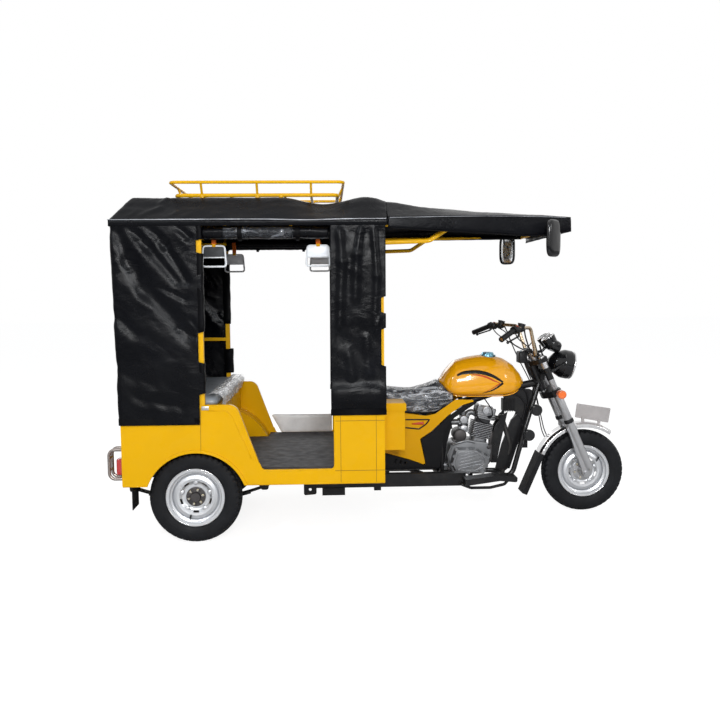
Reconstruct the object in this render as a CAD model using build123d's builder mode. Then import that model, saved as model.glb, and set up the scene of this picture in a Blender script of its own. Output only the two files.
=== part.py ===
"""Three-wheeled passenger motorcycle: a steel tub with a fabric roof behind an open motorcycle front.

Frame: +X forward, +Y to the vehicle's left, +Z up, origin on the ground at the middle of the length.
Millimetres throughout.  Places along the vehicle are written as distances ahead of the rear axle.
"""

import os
from math import cos, degrees, radians, sin, sqrt, tan

from build123d import *

os.makedirs("parts", exist_ok=True)

# ---------------------------------------------------------------- driving dimensions
wheelbase = 2420.0
rear_reach = 488.0  # rear axle to the back of the tail guards
tyre_radius = 266.0
tyre_width = 112.0
rear_wheel_y = 518.0  # centre of each rear wheel from the middle plane

body_half_width = 624.0
wall = 30.0  # thickness of a tub wall, both skins
body_bottom_z = 348.0
shoulder_z = 808.0
sill_z = 430.0
tub_rear = -395.0
tub_front = 1087.0
door_rear = 397.0
door_front = 799.0
bench_front = 145.0
bench_top_z = 800.0

pillar = 28.0
door_pillar = 62.0
eaves_z = 1838.0
roof_z = 1978.0
roof_half_flat = 470.0
roof_rear = -425.0
cloth = 5.0
cloth_gap = 2.0
visor_front = 2168.0
visor_half_width = 520.0

rake = 24.0  # steering axis and fork, from the vertical
axis_behind_axle = 24.0
legs_ahead_of_axle = 30.0
leg_y = 95.0

running_gap = 0.05
seat_gap = 0.3

# ---------------------------------------------------------------- derived places
rear_x = -(wheelbase + tyre_radius - rear_reach) / 2
front_x = rear_x + wheelbase
axle_z = tyre_radius
inner_y = body_half_width - wall
sin_rake = sin(radians(rake))
cos_rake = cos(radians(rake))


def ahead(distance):
    """X of a place that lies this far ahead of the rear axle."""
    return rear_x + distance


def side_plane(y):
    """Upright plane along the vehicle at this y: its x is +X, its y is +Z, its normal is -Y."""
    return Plane.XZ.offset(-y)


fork_plane = Plane(
    origin=(front_x, 0, axle_z), x_dir=(0, -1, 0), z_dir=(-sin_rake, 0, cos_rake)
)


def on_fork(forward, y, up):
    """A point given square to the fork: ahead of the axle, across, and up along the legs."""
    x = front_x + forward * cos_rake - up * sin_rake
    return (x, y, axle_z + forward * sin_rake + up * cos_rake)


def finish(part, label):
    """Name a finished piece and write it."""
    part.label = label
    export_step(part, f"parts/{label}.step")


def tube(points, radius, bends=0.0, bore=0.0):
    """Round tube through the points, each corner bent to its radius."""
    with BuildLine() as run:
        if len(points) > 2:
            FilletPolyline(*points, radius=bends)
        else:
            Line(*points)
    path = run.wire()
    with BuildSketch(Plane(origin=path @ 0, z_dir=path % 0)) as ring:
        Circle(radius)
        if bore:
            Circle(bore, mode=Mode.SUBTRACT)
    sweep(sections=ring.sketch, path=path)


def easy_bends(points):
    """Radius of each corner's arc, as large as its two runs allow."""
    corners = [Vector(*point) for point in points]
    radii = []
    for before, corner, after in zip(corners, corners[1:], corners[2:]):
        turn = (corner - before).get_angle(after - corner)
        shorter_run = min((corner - before).length, (after - corner).length)
        radii.append(0.45 * shorter_run / tan(radians(turn / 2)))
    return radii


def rod(start, end, radius):
    """Straight round bar between two points."""
    tube([start, end], radius)


def slab(plane, outline, corners, depth, mode=Mode.ADD):
    """Plate of this depth behind a plane: an outline whose corners have these radii."""
    with BuildSketch(plane) as face:
        with BuildLine():
            FilletPolyline(*outline, radius=corners, close=True)
        make_face()
    extrude(to_extrude=face.sketch, amount=-depth, mode=mode)


def block(low, high, mode=Mode.ADD):
    """Box between two opposite corners."""
    centre = tuple((a + b) / 2 for a, b in zip(low, high))
    size = tuple(b - a for a, b in zip(low, high))
    with Locations(centre):
        Box(*size, mode=mode)


def both_sides():
    """Repeat what is built so far on the other side of the middle plane."""
    mirror(about=Plane.XZ)


# ================================================================ chassis
leaf_width = 50.0
rail_y = 380.0
rail_width = 40.0
rail_top_z = sill_z - 8.0
rail_bottom_z = body_bottom_z + 4.0
beam_y = 230.0
beam_width = 50.0
beam_bottom_z = 234.0
beam_top_z = 314.0
beam_rear = 612.0
beam_front = 1614.0
cross_bar = 1486.0  # bar between the lower beams, behind the engine
cross_bar_top_z = 268.0
spring_span = 387.0  # axle to each spring eye
spring_eye_z = 290.0
eye_radius = 18.0
axle_tube_radius = 38.0
cross_member_places = [-340, 215, 420, 660, 860, 1030]

with BuildPart() as chassis_frame:
    block(
        (ahead(tub_rear + wall), -rail_y - rail_width / 2, rail_bottom_z),
        (ahead(tub_front - wall), -rail_y + rail_width / 2, rail_top_z),
    )
    block(
        (ahead(beam_rear), -beam_y - beam_width / 2, beam_bottom_z),
        (ahead(beam_front), -beam_y + beam_width / 2, beam_top_z),
    )
    # posts that carry the tub's ladder on the lower beams
    for place in cross_member_places[3:]:
        block(
            (ahead(place - 20), -beam_y - beam_width / 2, beam_top_z),
            (ahead(place + 20), -beam_y + beam_width / 2, rail_bottom_z),
        )
    # pivot bracket with its hole, step block and stop under each lower beam
    bracket_y = -beam_y - beam_width / 2
    with BuildSketch(side_plane(bracket_y - 8)) as bracket:
        with BuildLine():
            FilletPolyline(
                (ahead(beam_rear), beam_bottom_z + 40),
                (ahead(beam_rear), beam_bottom_z - 42),
                (ahead(beam_rear + 78), beam_bottom_z - 36),
                (ahead(beam_rear + 78), beam_bottom_z + 40),
                radius=[0, 12, 12, 0],
                close=True,
            )
        make_face()
        with Locations((ahead(beam_rear + 39), beam_bottom_z - 6)):
            Circle(9, mode=Mode.SUBTRACT)
    extrude(amount=-8)
    block(
        (ahead(725), -beam_y - 35, beam_bottom_z - 44),
        (ahead(865), -beam_y + 25, beam_bottom_z),
    )
    block(
        (ahead(1045), -beam_y - 20, beam_bottom_z - 22),
        (ahead(1088), -beam_y + 20, beam_bottom_z),
    )
    # spring hangers: a pad under the rail and a cheek each side of the spring
    for sense in (-1, 1):
        pad_x = sorted((ahead(sense * (spring_span - 64)), ahead(sense * (spring_span - 30))))
        block(
            (pad_x[0], -rail_y - leaf_width / 2 - 7, rail_bottom_z - 8),
            (pad_x[1], -rail_y + leaf_width / 2 + 7, rail_bottom_z),
        )
        for y in (-rail_y - leaf_width / 2 - seat_gap, -rail_y + leaf_width / 2 + seat_gap + 6):
            slab(
                side_plane(y),
                [
                    (ahead(sense * (spring_span - 64)), rail_bottom_z),
                    (ahead(sense * (spring_span - 30)), rail_bottom_z),
                    (ahead(sense * (spring_span + 22)), spring_eye_z + 10),
                    (ahead(sense * (spring_span + 20)), spring_eye_z - 22),
                    (ahead(sense * (spring_span - 20)), spring_eye_z - 22),
                ],
                [0, 0, 10, 14, 14],
                -6,
            )
    both_sides()
    for place in cross_member_places:
        block(
            (ahead(place - 20), -rail_y + rail_width / 2, rail_bottom_z),
            (ahead(place + 20), rail_y - rail_width / 2, rail_top_z),
        )
    block(
        (ahead(cross_bar - 20), -beam_y + beam_width / 2, beam_bottom_z),
        (ahead(cross_bar + 20), beam_y - beam_width / 2, cross_bar_top_z),
    )
finish(chassis_frame.part, "chassis_frame")

# leaf springs: each leaf is a band of one arc, shorter leaf by leaf
leaf_thickness = 8.0
leaf_half_lengths = [spring_span, 300, 220, 150]
spring_top_z = axle_z - axle_tube_radius - 8.0
spring_sag = spring_eye_z - spring_top_z
leaf_radius = (spring_span**2 + spring_sag**2) / (2 * spring_sag)
spring_centre_z = spring_top_z + leaf_radius

with BuildPart() as leaf_springs:
    for number, half_length in enumerate(leaf_half_lengths):
        inner = leaf_radius + number * leaf_thickness
        angle = degrees(half_length / leaf_radius)
        with BuildSketch(side_plane(-rail_y - leaf_width / 2)):
            with BuildLine():
                outer_arc = CenterArc(
                    (ahead(0), spring_centre_z), inner + leaf_thickness, 270 - angle, 2 * angle
                )
                inner_arc = CenterArc((ahead(0), spring_centre_z), inner, 270 - angle, 2 * angle)
                Line(outer_arc @ 0, inner_arc @ 0)
                Line(outer_arc @ 1, inner_arc @ 1)
            make_face()
        extrude(amount=-leaf_width)
    for sense in (-1, 1):
        with BuildSketch(side_plane(-rail_y - leaf_width / 2)):
            with Locations((ahead(sense * spring_span), spring_eye_z)):
                Circle(eye_radius)
        extrude(amount=-leaf_width)
    # saddle plate under the axle and the plate that the U-bolts pull up
    plate_bottom = spring_top_z - len(leaf_half_lengths) * leaf_thickness
    block(
        (ahead(-50), -rail_y - 42, plate_bottom - 12), (ahead(50), -rail_y + 42, plate_bottom)
    )
    block(
        (ahead(-45), -rail_y - 25, spring_top_z - 2),
        (ahead(45), -rail_y + 25, axle_z - axle_tube_radius - seat_gap),
    )
    bolt_y = 33.0
    for x in (-axle_tube_radius - 7, axle_tube_radius + 7):
        for y in (-bolt_y, bolt_y):
            rod(
                (ahead(x), -rail_y + y, plate_bottom - 22),
                (ahead(x), -rail_y + y, axle_z + axle_tube_radius + 6),
                5,
            )
    for y in (-bolt_y, bolt_y):
        block(
            (ahead(-axle_tube_radius - 12), -rail_y + y - 5, axle_z + axle_tube_radius + 1),
            (ahead(axle_tube_radius + 12), -rail_y + y + 5, axle_z + axle_tube_radius + 11),
        )
    both_sides()
finish(leaf_springs.part, "leaf_springs")

# ================================================================ wheels
# Each wheel lies in a half-plane through its axle: local x is the radius, local y is outboard.
bead_radius = 156.0
flange_radius = 168.0
flange_y = 42.0
rim_gauge = 4.0
drum_radius = 108.0
spindle_radius = 17.0
hub_radius = 56.0
backing_gap = 5.0

rim_outline = [
    (flange_radius, 43),
    (flange_radius, 40),
    (bead_radius - 0.4, 38),
    (bead_radius - 0.4, 25),
    (140, 17),
    (140, -17),
    (bead_radius - 0.4, -25),
    (bead_radius - 0.4, -38),
    (flange_radius, -40),
    (flange_radius, -43),
    (163, -42),
    (151, -41),
    (151, -26.5),
    (136, -18.5),
    (136, 4),
    (122, 18),
    (108, 25),
    (96, 23),
    (80, 10),
    (72, 8),
    (hub_radius - 14, 8),
    (hub_radius - 14, 12),
    (71, 12),
    (79, 14.5),
    (94, 27),
    (108, 29),
    (125, 22),
    (136, 11),
    (136, 18.5),
    (151, 26.5),
    (151, 41),
    (163, 42),
]
tyre_half = tyre_width / 2
shoulder_radius = tyre_radius - 14
shoulder = tyre_half - 8


def wheel_plane(x, y, side):
    return Plane(origin=(x, y, axle_z), x_dir=(0, 0, 1), z_dir=(-side, 0, 0))


def make_tyre(label, x, y, side):
    with BuildPart() as tyre:
        with BuildSketch(wheel_plane(x, y, side)):
            with BuildLine():
                foot = Line((bead_radius, -37), (bead_radius, 37))
                outer_bead = Line(foot @ 1, (flange_radius + 1, 39))
                Line(outer_bead @ 1, (173, 46))
                ThreePointArc((173, 46), (215, tyre_half), (shoulder_radius, shoulder))
                ThreePointArc((shoulder_radius, shoulder), (tyre_radius, 0), (shoulder_radius, -shoulder))
                ThreePointArc((shoulder_radius, -shoulder), (215, -tyre_half), (173, -46))
                inner_bead = Line((173, -46), (flange_radius + 1, -39))
                Line(inner_bead @ 1, foot @ 0)
            make_face()
        revolve(axis=Axis((x, y, axle_z), (0, 1, 0)))
    finish(tyre.part, label)


def make_rim(label, x, y, side):
    with BuildPart() as rim:
        with BuildSketch(wheel_plane(x, y, side)):
            with BuildLine():
                Polyline(*rim_outline, close=True)
            make_face()
        revolve(axis=Axis((x, y, axle_z), (0, 1, 0)))
        # five slots through the dish, inside its sloping ring
        with BuildSketch(Plane(origin=(x, y, axle_z), x_dir=(1, 0, 0), z_dir=(0, -1, 0))):
            with PolarLocations(87, 5, start_angle=54):
                SlotOverall(34, 11, rotation=90)
        extrude(amount=60, both=True, mode=Mode.SUBTRACT)
    finish(rim.part, label)


def make_hub(label, x, y, side, nose):
    """Drum with its flange against the dish, a cap of this length outboard, running on a spindle."""
    plane = wheel_plane(x, y, side)
    with BuildPart() as hub:
        with BuildSketch(plane):
            with BuildLine():
                Polyline(
                    (spindle_radius + running_gap, -46 - backing_gap + 2),
                    (42, -46 - backing_gap + 2),
                    (46, -12),
                    (drum_radius - 8, -12),
                    (drum_radius - 8, -46),
                    (drum_radius, -46),
                    (drum_radius, -4),
                    (76, 7.7),
                    (40, 7.7),
                    (40, 12.3),
                    (hub_radius, 12.3),
                    (hub_radius, 20),
                    (30, 24),
                    (26, nose),
                    (0, nose),
                    (0, nose - 6),
                    (spindle_radius + running_gap, nose - 6),
                    close=True,
                )
            make_face()
        revolve(axis=Axis((x, y, axle_z), (0, 1, 0)))
        with Locations(
            Plane(origin=(x, y + side * 19, axle_z), x_dir=(1, 0, 0), z_dir=(0, side, 0))
        ):
            with PolarLocations(41, 6):
                Cylinder(7, 10, align=(Align.CENTER, Align.CENTER, Align.MIN))
    finish(hub.part, label)


wheels = [  # name, x, y of the centre, outboard side, length of the hub's nose
    ("front", front_x, 0.0, -1, 40.0),
    ("rear_right", ahead(0), -rear_wheel_y, -1, 42.0),
    ("rear_left", ahead(0), rear_wheel_y, 1, 42.0),
]
for wheel, x, y, side, nose in wheels[1:]:
    make_tyre(f"{wheel}_tyre", x, y, side)
    make_rim(f"{wheel}_rim", x, y, side)
    make_hub(f"{wheel}_hub", x, y, side, nose)
make_tyre("front_tyre", front_x, 0.0, -1)
make_rim("front_rim", front_x, 0.0, -1)

axle_pin_radius = 9.0
front_hub_half = 62.0
with BuildPart() as front_hub:
    with BuildSketch(wheel_plane(front_x, 0.0, -1)):
        with BuildLine():
            Polyline(
                (axle_pin_radius + running_gap, -front_hub_half),
                (26, -front_hub_half),
                (30, -40),
                (74, -36),
                (80, -8),
                (76, 7.7),
                (40, 7.7),
                (40, 12.3),
                (66, 12.3),
                (66, 18),
                (34, 22),
                (26, front_hub_half),
                (axle_pin_radius + running_gap, front_hub_half),
                close=True,
            )
        make_face()
    revolve(axis=Axis((front_x, 0, axle_z), (0, 1, 0)))
    with Locations(Plane(origin=(front_x, -17, axle_z), x_dir=(1, 0, 0), z_dir=(0, -1, 0))):
        with PolarLocations(50, 6):
            Cylinder(6, 12, align=(Align.CENTER, Align.CENTER, Align.MIN))
finish(front_hub.part, "front_hub")

# rear axle: tube, differential, backing plates and spindles
backing_y = rear_wheel_y - 46 - backing_gap
with BuildPart() as rear_axle:
    axle_line = Axis((ahead(0), 0, axle_z), (0, 1, 0))
    rod((ahead(0), -backing_y, axle_z), (ahead(0), backing_y, axle_z), axle_tube_radius)
    with BuildSketch(Plane(origin=(ahead(0), 0, axle_z), x_dir=(0, 0, 1), z_dir=(1, 0, 0))):
        with BuildLine():
            FilletPolyline(
                (0, -115), (52, -105), (112, -42), (112, 42), (52, 105), (0, 115),
                radius=[0, 20, 24, 24, 20, 0],
                close=True,
            )
        make_face()
    revolve(axis=axle_line)
    for y in (-backing_y, backing_y):
        side = 1 if y > 0 else -1
        rod((ahead(0), y - side * 7, axle_z), (ahead(0), y, axle_z), drum_radius + 4)
        rod((ahead(0), y, axle_z), (ahead(0), side * (rear_wheel_y + 30), axle_z), spindle_radius)
    with BuildSketch(Plane.YZ.offset(ahead(60))) as nose_root:
        with Locations((0, axle_z + 4)):
            Circle(78)
    with BuildSketch(Plane.YZ.offset(ahead(175))) as nose_tip:
        with Locations((0, axle_z + 14)):
            Circle(42)
    loft([nose_root.sketch, nose_tip.sketch])
gearbox_rear = 1489.0
shaft_front_z = 310.0
shaft_rear_z = axle_z + 14
with rear_axle:
    # propeller shaft with a joint flange at each end
    start = (ahead(168), 0, shaft_rear_z)
    end = (ahead(gearbox_rear), 0, shaft_front_z)
    rod(start, end, 22)
    for place, z in ((195, shaft_rear_z + 0.4), (gearbox_rear - 25, shaft_front_z - 0.5)):
        rod((ahead(place - 18), 0, z), (ahead(place + 18), 0, z), 36)
finish(rear_axle.part, "rear_axle")

# ================================================================ tub
cover_y = 132.0  # inner faces of the motorcycle's side covers
arch_radius = 294.0
arch_x = 16.0
arch_z = 246.0
housing_radius = 383.0
housing_inner_y = 430.0
sheet = 8.0

side_outline = [  # distance ahead, z, corner radius
    (tub_rear, body_bottom_z, 10),
    (tub_front, body_bottom_z, 6),
    (tub_front, shoulder_z, 6),
    (door_front, shoulder_z, 6),
    (door_front, sill_z, 0),
    (door_rear - 8, sill_z, 34),
    (251, shoulder_z, 60),
    (tub_rear, shoulder_z, 10),
]
with BuildPart() as side_panel_right:
    slab(
        side_plane(-inner_y),
        [(ahead(x), z) for x, z, _ in side_outline],
        [r for *_, r in side_outline],
        -wall,
    )
    with BuildSketch(side_plane(-inner_y)):
        with Locations((ahead(arch_x), arch_z)):
            Circle(arch_radius)
    extrude(amount=wall, mode=Mode.SUBTRACT)
    # rolled lip round the arch
    with BuildSketch(side_plane(-body_half_width)):
        with Locations((ahead(arch_x), arch_z)):
            Circle(arch_radius + 14)
            Circle(arch_radius, mode=Mode.SUBTRACT)
        with Locations((ahead(arch_x), body_bottom_z - arch_radius)):
            Rectangle(3 * arch_radius, 2 * arch_radius, mode=Mode.SUBTRACT)
    extrude(amount=5)
finish(side_panel_right.part, "side_panel_right")

with BuildPart() as side_panel_left:
    add(mirror(side_panel_right.part, about=Plane.XZ, mode=Mode.PRIVATE))
finish(side_panel_left.part, "side_panel_left")

with BuildPart() as rear_panel:
    block(
        (ahead(tub_rear), -inner_y, body_bottom_z),
        (ahead(tub_rear + wall), inner_y, shoulder_z),
    )
finish(rear_panel.part, "rear_panel")

with BuildPart() as front_panel:
    block(
        (ahead(tub_front - wall), -inner_y, body_bottom_z),
        (ahead(tub_front), inner_y, shoulder_z),
    )
    # tabs that the motorcycle's side covers are screwed to
    for y, low_z, high_z in ((cover_y, 600, 660), (cover_y - 2, 350, 400)):
        block((ahead(tub_front), -y, low_z), (ahead(tub_front + 56), -y + 5, high_z))
        block((ahead(tub_front), y - 5, low_z), (ahead(tub_front + 56), y, high_z))
finish(front_panel.part, "front_panel")

inside_rear = tub_rear + wall
inside_front = tub_front - wall
with BuildPart() as floor_pan:
    block((ahead(inside_rear), -inner_y, sill_z - sheet), (ahead(inside_front), inner_y, sill_z))
    for side in (-1, 1):
        near = side * inner_y
        with BuildSketch(side_plane(near)) as well:
            with Locations((ahead(0), axle_z)):
                Circle(housing_radius)
        extrude(to_extrude=well.sketch, amount=side * (inner_y - housing_inner_y))
    for side in (-1, 1):
        with BuildSketch(side_plane(side * inner_y)) as room:
            with Locations((ahead(0), axle_z)):
                Circle(housing_radius - sheet)
        extrude(
            to_extrude=room.sketch,
            amount=side * (inner_y - housing_inner_y - sheet),
            mode=Mode.SUBTRACT,
        )
    block(
        (ahead(-housing_radius - 1), -inner_y - 1, axle_z - housing_radius - 1),
        (ahead(housing_radius + 1), inner_y + 1, sill_z - sheet),
        mode=Mode.SUBTRACT,
    )
    block(
        (ahead(-housing_radius - 1), -inner_y - 1, 0),
        (ahead(inside_rear), inner_y + 1, shoulder_z),
        mode=Mode.SUBTRACT,
    )
finish(floor_pan.part, "floor_pan")

with BuildPart() as bench_box:
    block(
        (ahead(bench_front - 12), -inner_y, sill_z),
        (ahead(bench_front), inner_y, bench_top_z),
    )
    block(
        (ahead(inside_rear), -inner_y, bench_top_z - 12),
        (ahead(bench_front), inner_y, bench_top_z),
    )
    for side in (-1, 1):
        with BuildSketch(side_plane(side * (inner_y + 1))) as well:
            with Locations((ahead(0), axle_z)):
                Circle(housing_radius + seat_gap)
        extrude(
            to_extrude=well.sketch,
            amount=side * (inner_y + 1 - housing_inner_y + seat_gap),
            mode=Mode.SUBTRACT,
        )
finish(bench_box.part, "bench_box")

cushion_thickness = 58.0
cushion_gap = 8.0
back_thickness = 60.0
back_height = 380.0
with BuildPart() as bench_cushion:
    low = (ahead(inside_rear + back_thickness + 2), -inner_y + cushion_gap, bench_top_z + seat_gap)
    high = (ahead(bench_front + 8), inner_y - cushion_gap, bench_top_z + cushion_thickness)
    block(low, high)
    fillet(edges().filter_by(Axis.Y).group_by(Axis.Z)[-1], 18)
    fillet(edges().filter_by(Axis.X).group_by(Axis.Z)[-1], 14)
    back_low = (ahead(inside_rear), -inner_y + cushion_gap, bench_top_z + seat_gap)
    back_high = (
        ahead(inside_rear + back_thickness), inner_y - cushion_gap, bench_top_z + back_height
    )
    block(back_low, back_high)
finish(bench_cushion.part, "bench_cushion")

mat_thickness = 12.0
mat_edge = 8.0
with BuildPart() as floor_mat:
    rear_edge = ahead(bench_front + 3)
    step_edge = ahead(sqrt(housing_radius**2 - (sill_z - axle_z) ** 2) + 6)
    with BuildSketch(Plane.XY.offset(sill_z)):
        with BuildLine():
            FilletPolyline(
                (rear_edge, -housing_inner_y + mat_edge),
                (step_edge, -housing_inner_y + mat_edge),
                (step_edge, -inner_y + mat_edge),
                (ahead(inside_front - 4), -inner_y + mat_edge),
                (ahead(inside_front - 4), inner_y - mat_edge),
                (step_edge, inner_y - mat_edge),
                (step_edge, housing_inner_y - mat_edge),
                (rear_edge, housing_inner_y - mat_edge),
                radius=6,
                close=True,
            )
        make_face()
    extrude(amount=mat_thickness)
finish(floor_mat.part, "floor_mat")

board_top_z = 576.0
board_thickness = 26.0
with BuildPart() as doorway_board:
    slab(
        side_plane(body_half_width - 2),
        [
            (ahead(door_rear + 28), sill_z),
            (ahead(door_front - 1), sill_z),
            (ahead(door_front - 1), board_top_z - 6),
            (ahead(door_rear - 48), board_top_z),
        ],
        [8, 8, 12, 12],
        -board_thickness,
    )
finish(doorway_board.part, "doorway_board")

# ================================================================ roof frame
pillar_y = body_half_width - 20.0
bow_radius = 11.0
bow_places = [-316, door_pillar, 520, 1000]
rail_drop = 8.0
rail_height = 20.0
frame_z = eaves_z - rail_drop - rail_height / 2
handle_rail_y = 500.0
handle_rail_z = 1772.0
guard_rail_z = 1112.0
front_pillar = tub_front - wall / 2
arm_y = 518.0
arm_end = 1484.0
visor_frame_z = 1806.0
rear_pillar = tub_rear + wall / 2
bow_top_z = roof_z - cloth - bow_radius - 1.6

with BuildPart() as roof_frame:
    for place in (rear_pillar, door_pillar, front_pillar):
        block(
            (ahead(place) - pillar / 2, -pillar_y - pillar / 2, shoulder_z),
            (ahead(place) + pillar / 2, -pillar_y + pillar / 2, frame_z),
        )
    block(
        (ahead(rear_pillar) - pillar / 2, -pillar_y - pillar / 2, frame_z - rail_height / 2),
        (ahead(front_pillar) + pillar / 2, -pillar_y + pillar / 2, frame_z + rail_height / 2),
    )
    block(
        (ahead(rear_pillar), -pillar_y - 10, guard_rail_z - 11),
        (ahead(door_pillar), -pillar_y + 10, guard_rail_z + 11),
    )
    rod(
        (ahead(rear_pillar), -handle_rail_y, handle_rail_z),
        (ahead(front_pillar), -handle_rail_y, handle_rail_z),
        10,
    )
    for place in (rear_pillar, door_pillar, front_pillar):
        rod(
            (ahead(place), -handle_rail_y, handle_rail_z),
            (ahead(place), -pillar_y, frame_z),
            8,
        )
    # arm that reaches forward to carry the visor
    tube(
        [
            (ahead(front_pillar), -arm_y, 1713),
            (ahead(1355), -arm_y, 1722),
            (ahead(arm_end), -arm_y, visor_frame_z),
        ],
        13,
        70,
    )
    block(
        (ahead(front_pillar) - 14, -pillar_y, 1699),
        (ahead(front_pillar) + 14, -arm_y + 10, 1727),
    )
    # visor edge tube
    rod(
        (ahead(front_pillar), -pillar_y + 6, visor_frame_z),
        (ahead(visor_front - 40), -visor_half_width + 34, visor_frame_z),
        10,
    )
    both_sides()
    for place in bow_places:
        tube(
            [
                (ahead(place), -pillar_y, frame_z),
                (ahead(place), -roof_half_flat + 6, bow_top_z),
                (ahead(place), roof_half_flat - 6, bow_top_z),
                (ahead(place), pillar_y, frame_z),
            ],
            bow_radius,
            60,
        )
    for place, half in (
        (front_pillar, pillar_y),
        (arm_end, visor_half_width),
        (visor_front - 40, visor_half_width - 34),
    ):
        rod((ahead(place), -half, visor_frame_z), (ahead(place), half, visor_frame_z), 10)
finish(roof_frame.part, "roof_frame")

# ================================================================ canopy and visor
skirt_z = 1812.0
canopy_front = tub_front + 22.0
curtain_y = body_half_width + cloth_gap + cloth
canopy_y = curtain_y + 2.0


def roof_form(inset):
    """Outer form of the canopy, or its room when inset by the cloth: hipped across, sagging along."""
    with BuildPart() as form:
        low = skirt_z - (100 if inset else 0)
        with BuildSketch(Plane.YZ.offset(ahead(roof_rear + inset))) as section:
            with BuildLine():
                FilletPolyline(
                    (-canopy_y + inset, low),
                    (-canopy_y + inset, eaves_z - inset / 2),
                    (-roof_half_flat, roof_z - inset),
                    (roof_half_flat, roof_z - inset),
                    (canopy_y - inset, eaves_z - inset / 2),
                    (canopy_y - inset, low),
                    radius=[0, 14, 40, 40, 14, 0],
                    close=True,
                )
            make_face()
        extrude(to_extrude=section.sketch, amount=canopy_front - roof_rear)
        with BuildSketch(side_plane(700)) as profile:
            with BuildLine():
                FilletPolyline(
                    (ahead(roof_rear + inset), low),
                    (ahead(roof_rear + inset), eaves_z - inset / 2),
                    (ahead(roof_rear + 92), roof_z - inset),
                    (ahead(520), roof_z - inset),
                    (ahead(757), roof_z - 36 - inset),
                    (ahead(1000), roof_z - inset),
                    (ahead(canopy_front + 1), roof_z - 22 - inset),
                    (ahead(canopy_front + 1), low),
                    radius=[0, 10, 40, 300, 120, 60, 0, 0],
                    close=True,
                )
            make_face()
        extrude(to_extrude=profile.sketch, amount=1400, mode=Mode.INTERSECT)
    return form.part


with BuildPart() as canopy_top:
    add(roof_form(0.0))
    add(roof_form(cloth), mode=Mode.SUBTRACT)
finish(canopy_top.part, "canopy_top")

visor_sections = [  # ahead, half width, skirt's low z, edge z, half width of the flat, top z
    (canopy_front + 1, canopy_y, 1789.0, 1848.0, 470.0, 1950.0),
    (1480.0, 600.0, 1770.0, 1856.0, 470.0, 1905.0),
    (1880.0, 556.0, 1747.0, 1860.0, 466.0, 1878.0),
    (visor_front, visor_half_width, 1772.0, 1856.0, 450.0, 1866.0),
]


def visor_form(inset):
    """Loft of the visor's sections, or of the room under it when inset by the cloth."""
    sections = []
    for x, half, low, edge, flat, top in visor_sections:
        end = x - inset if x == visor_front else x
        floor = low - 200 if inset else low
        with BuildSketch(Plane.YZ.offset(ahead(end))) as section:
            with BuildLine():
                Polyline(
                    (-half + inset, floor),
                    (-half + inset, edge - inset),
                    (-flat, top - inset),
                    (flat, top - inset),
                    (half - inset, edge - inset),
                    (half - inset, floor),
                    close=True,
                )
            make_face()
        sections.append(section.sketch)
    with BuildPart() as form:
        loft(sections, ruled=True)
    return form.part


with BuildPart() as visor:
    add(visor_form(0.0))
    add(visor_form(cloth), mode=Mode.SUBTRACT)
finish(visor.part, "visor")

# ================================================================ curtains
rear_curtain_hem_z = 700.0
rear_curtain_edge = 48.0
front_curtain_hem_z = 742.0
curtain_top_z = skirt_z - seat_gap
back_curtain_x = tub_rear - cloth_gap - cloth

with BuildPart() as rear_curtain:
    with BuildSketch(Plane.XY.offset(rear_curtain_hem_z)):
        with BuildLine():
            FilletPolyline(
                (ahead(rear_curtain_edge), -curtain_y),
                (ahead(back_curtain_x), -curtain_y),
                (ahead(back_curtain_x), curtain_y),
                (ahead(rear_curtain_edge), curtain_y),
                (ahead(rear_curtain_edge), curtain_y - cloth),
                (ahead(back_curtain_x + cloth), curtain_y - cloth),
                (ahead(back_curtain_x + cloth), -curtain_y + cloth),
                (ahead(rear_curtain_edge), -curtain_y + cloth),
                radius=[0, 8, 8, 0, 0, 3, 3, 0],
                close=True,
            )
        make_face()
    extrude(amount=curtain_top_z - rear_curtain_hem_z)
finish(rear_curtain.part, "rear_curtain")

front_curtain_rear = 786.0
front_curtain_front = 1096.0
with BuildPart() as front_curtains:
    slab(
        side_plane(-curtain_y),
        [
            (ahead(front_curtain_rear - 4), front_curtain_hem_z),
            (ahead(front_curtain_front), front_curtain_hem_z - 3),
            (ahead(front_curtain_front), curtain_top_z),
            (ahead(front_curtain_rear), curtain_top_z),
        ],
        [10, 6, 0, 0],
        cloth,
    )
    both_sides()
finish(front_curtains.part, "front_curtains")

roll_radius = 43.0
roll_y = 574.0
roll_z = frame_z - rail_height / 2 - roll_radius - 4
roll_rear = 76.0
roll_front = 780.0
with BuildPart() as window_rolls:
    rod((ahead(roll_rear), -roll_y, roll_z), (ahead(roll_front), -roll_y, roll_z), roll_radius)
    for place in (286, 607):
        rod(
            (ahead(place - 14), -roll_y, roll_z),
            (ahead(place + 14), -roll_y, roll_z),
            roll_radius + 3,
        )
    both_sides()
finish(window_rolls.part, "window_rolls")

# ================================================================ roof rack
rack_rail_radius = 11.0
rack_top_radius = 9.0
rack_bottom_z = roof_z + rack_rail_radius + 3.0
rack_top_z = 2060.0
rack_bottom = (-88, 835, 430)  # rear and front ends ahead of the rear axle, half width
rack_top = (-114, 868, 478)
rack_post_places = [60, 375, 683]

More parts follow.
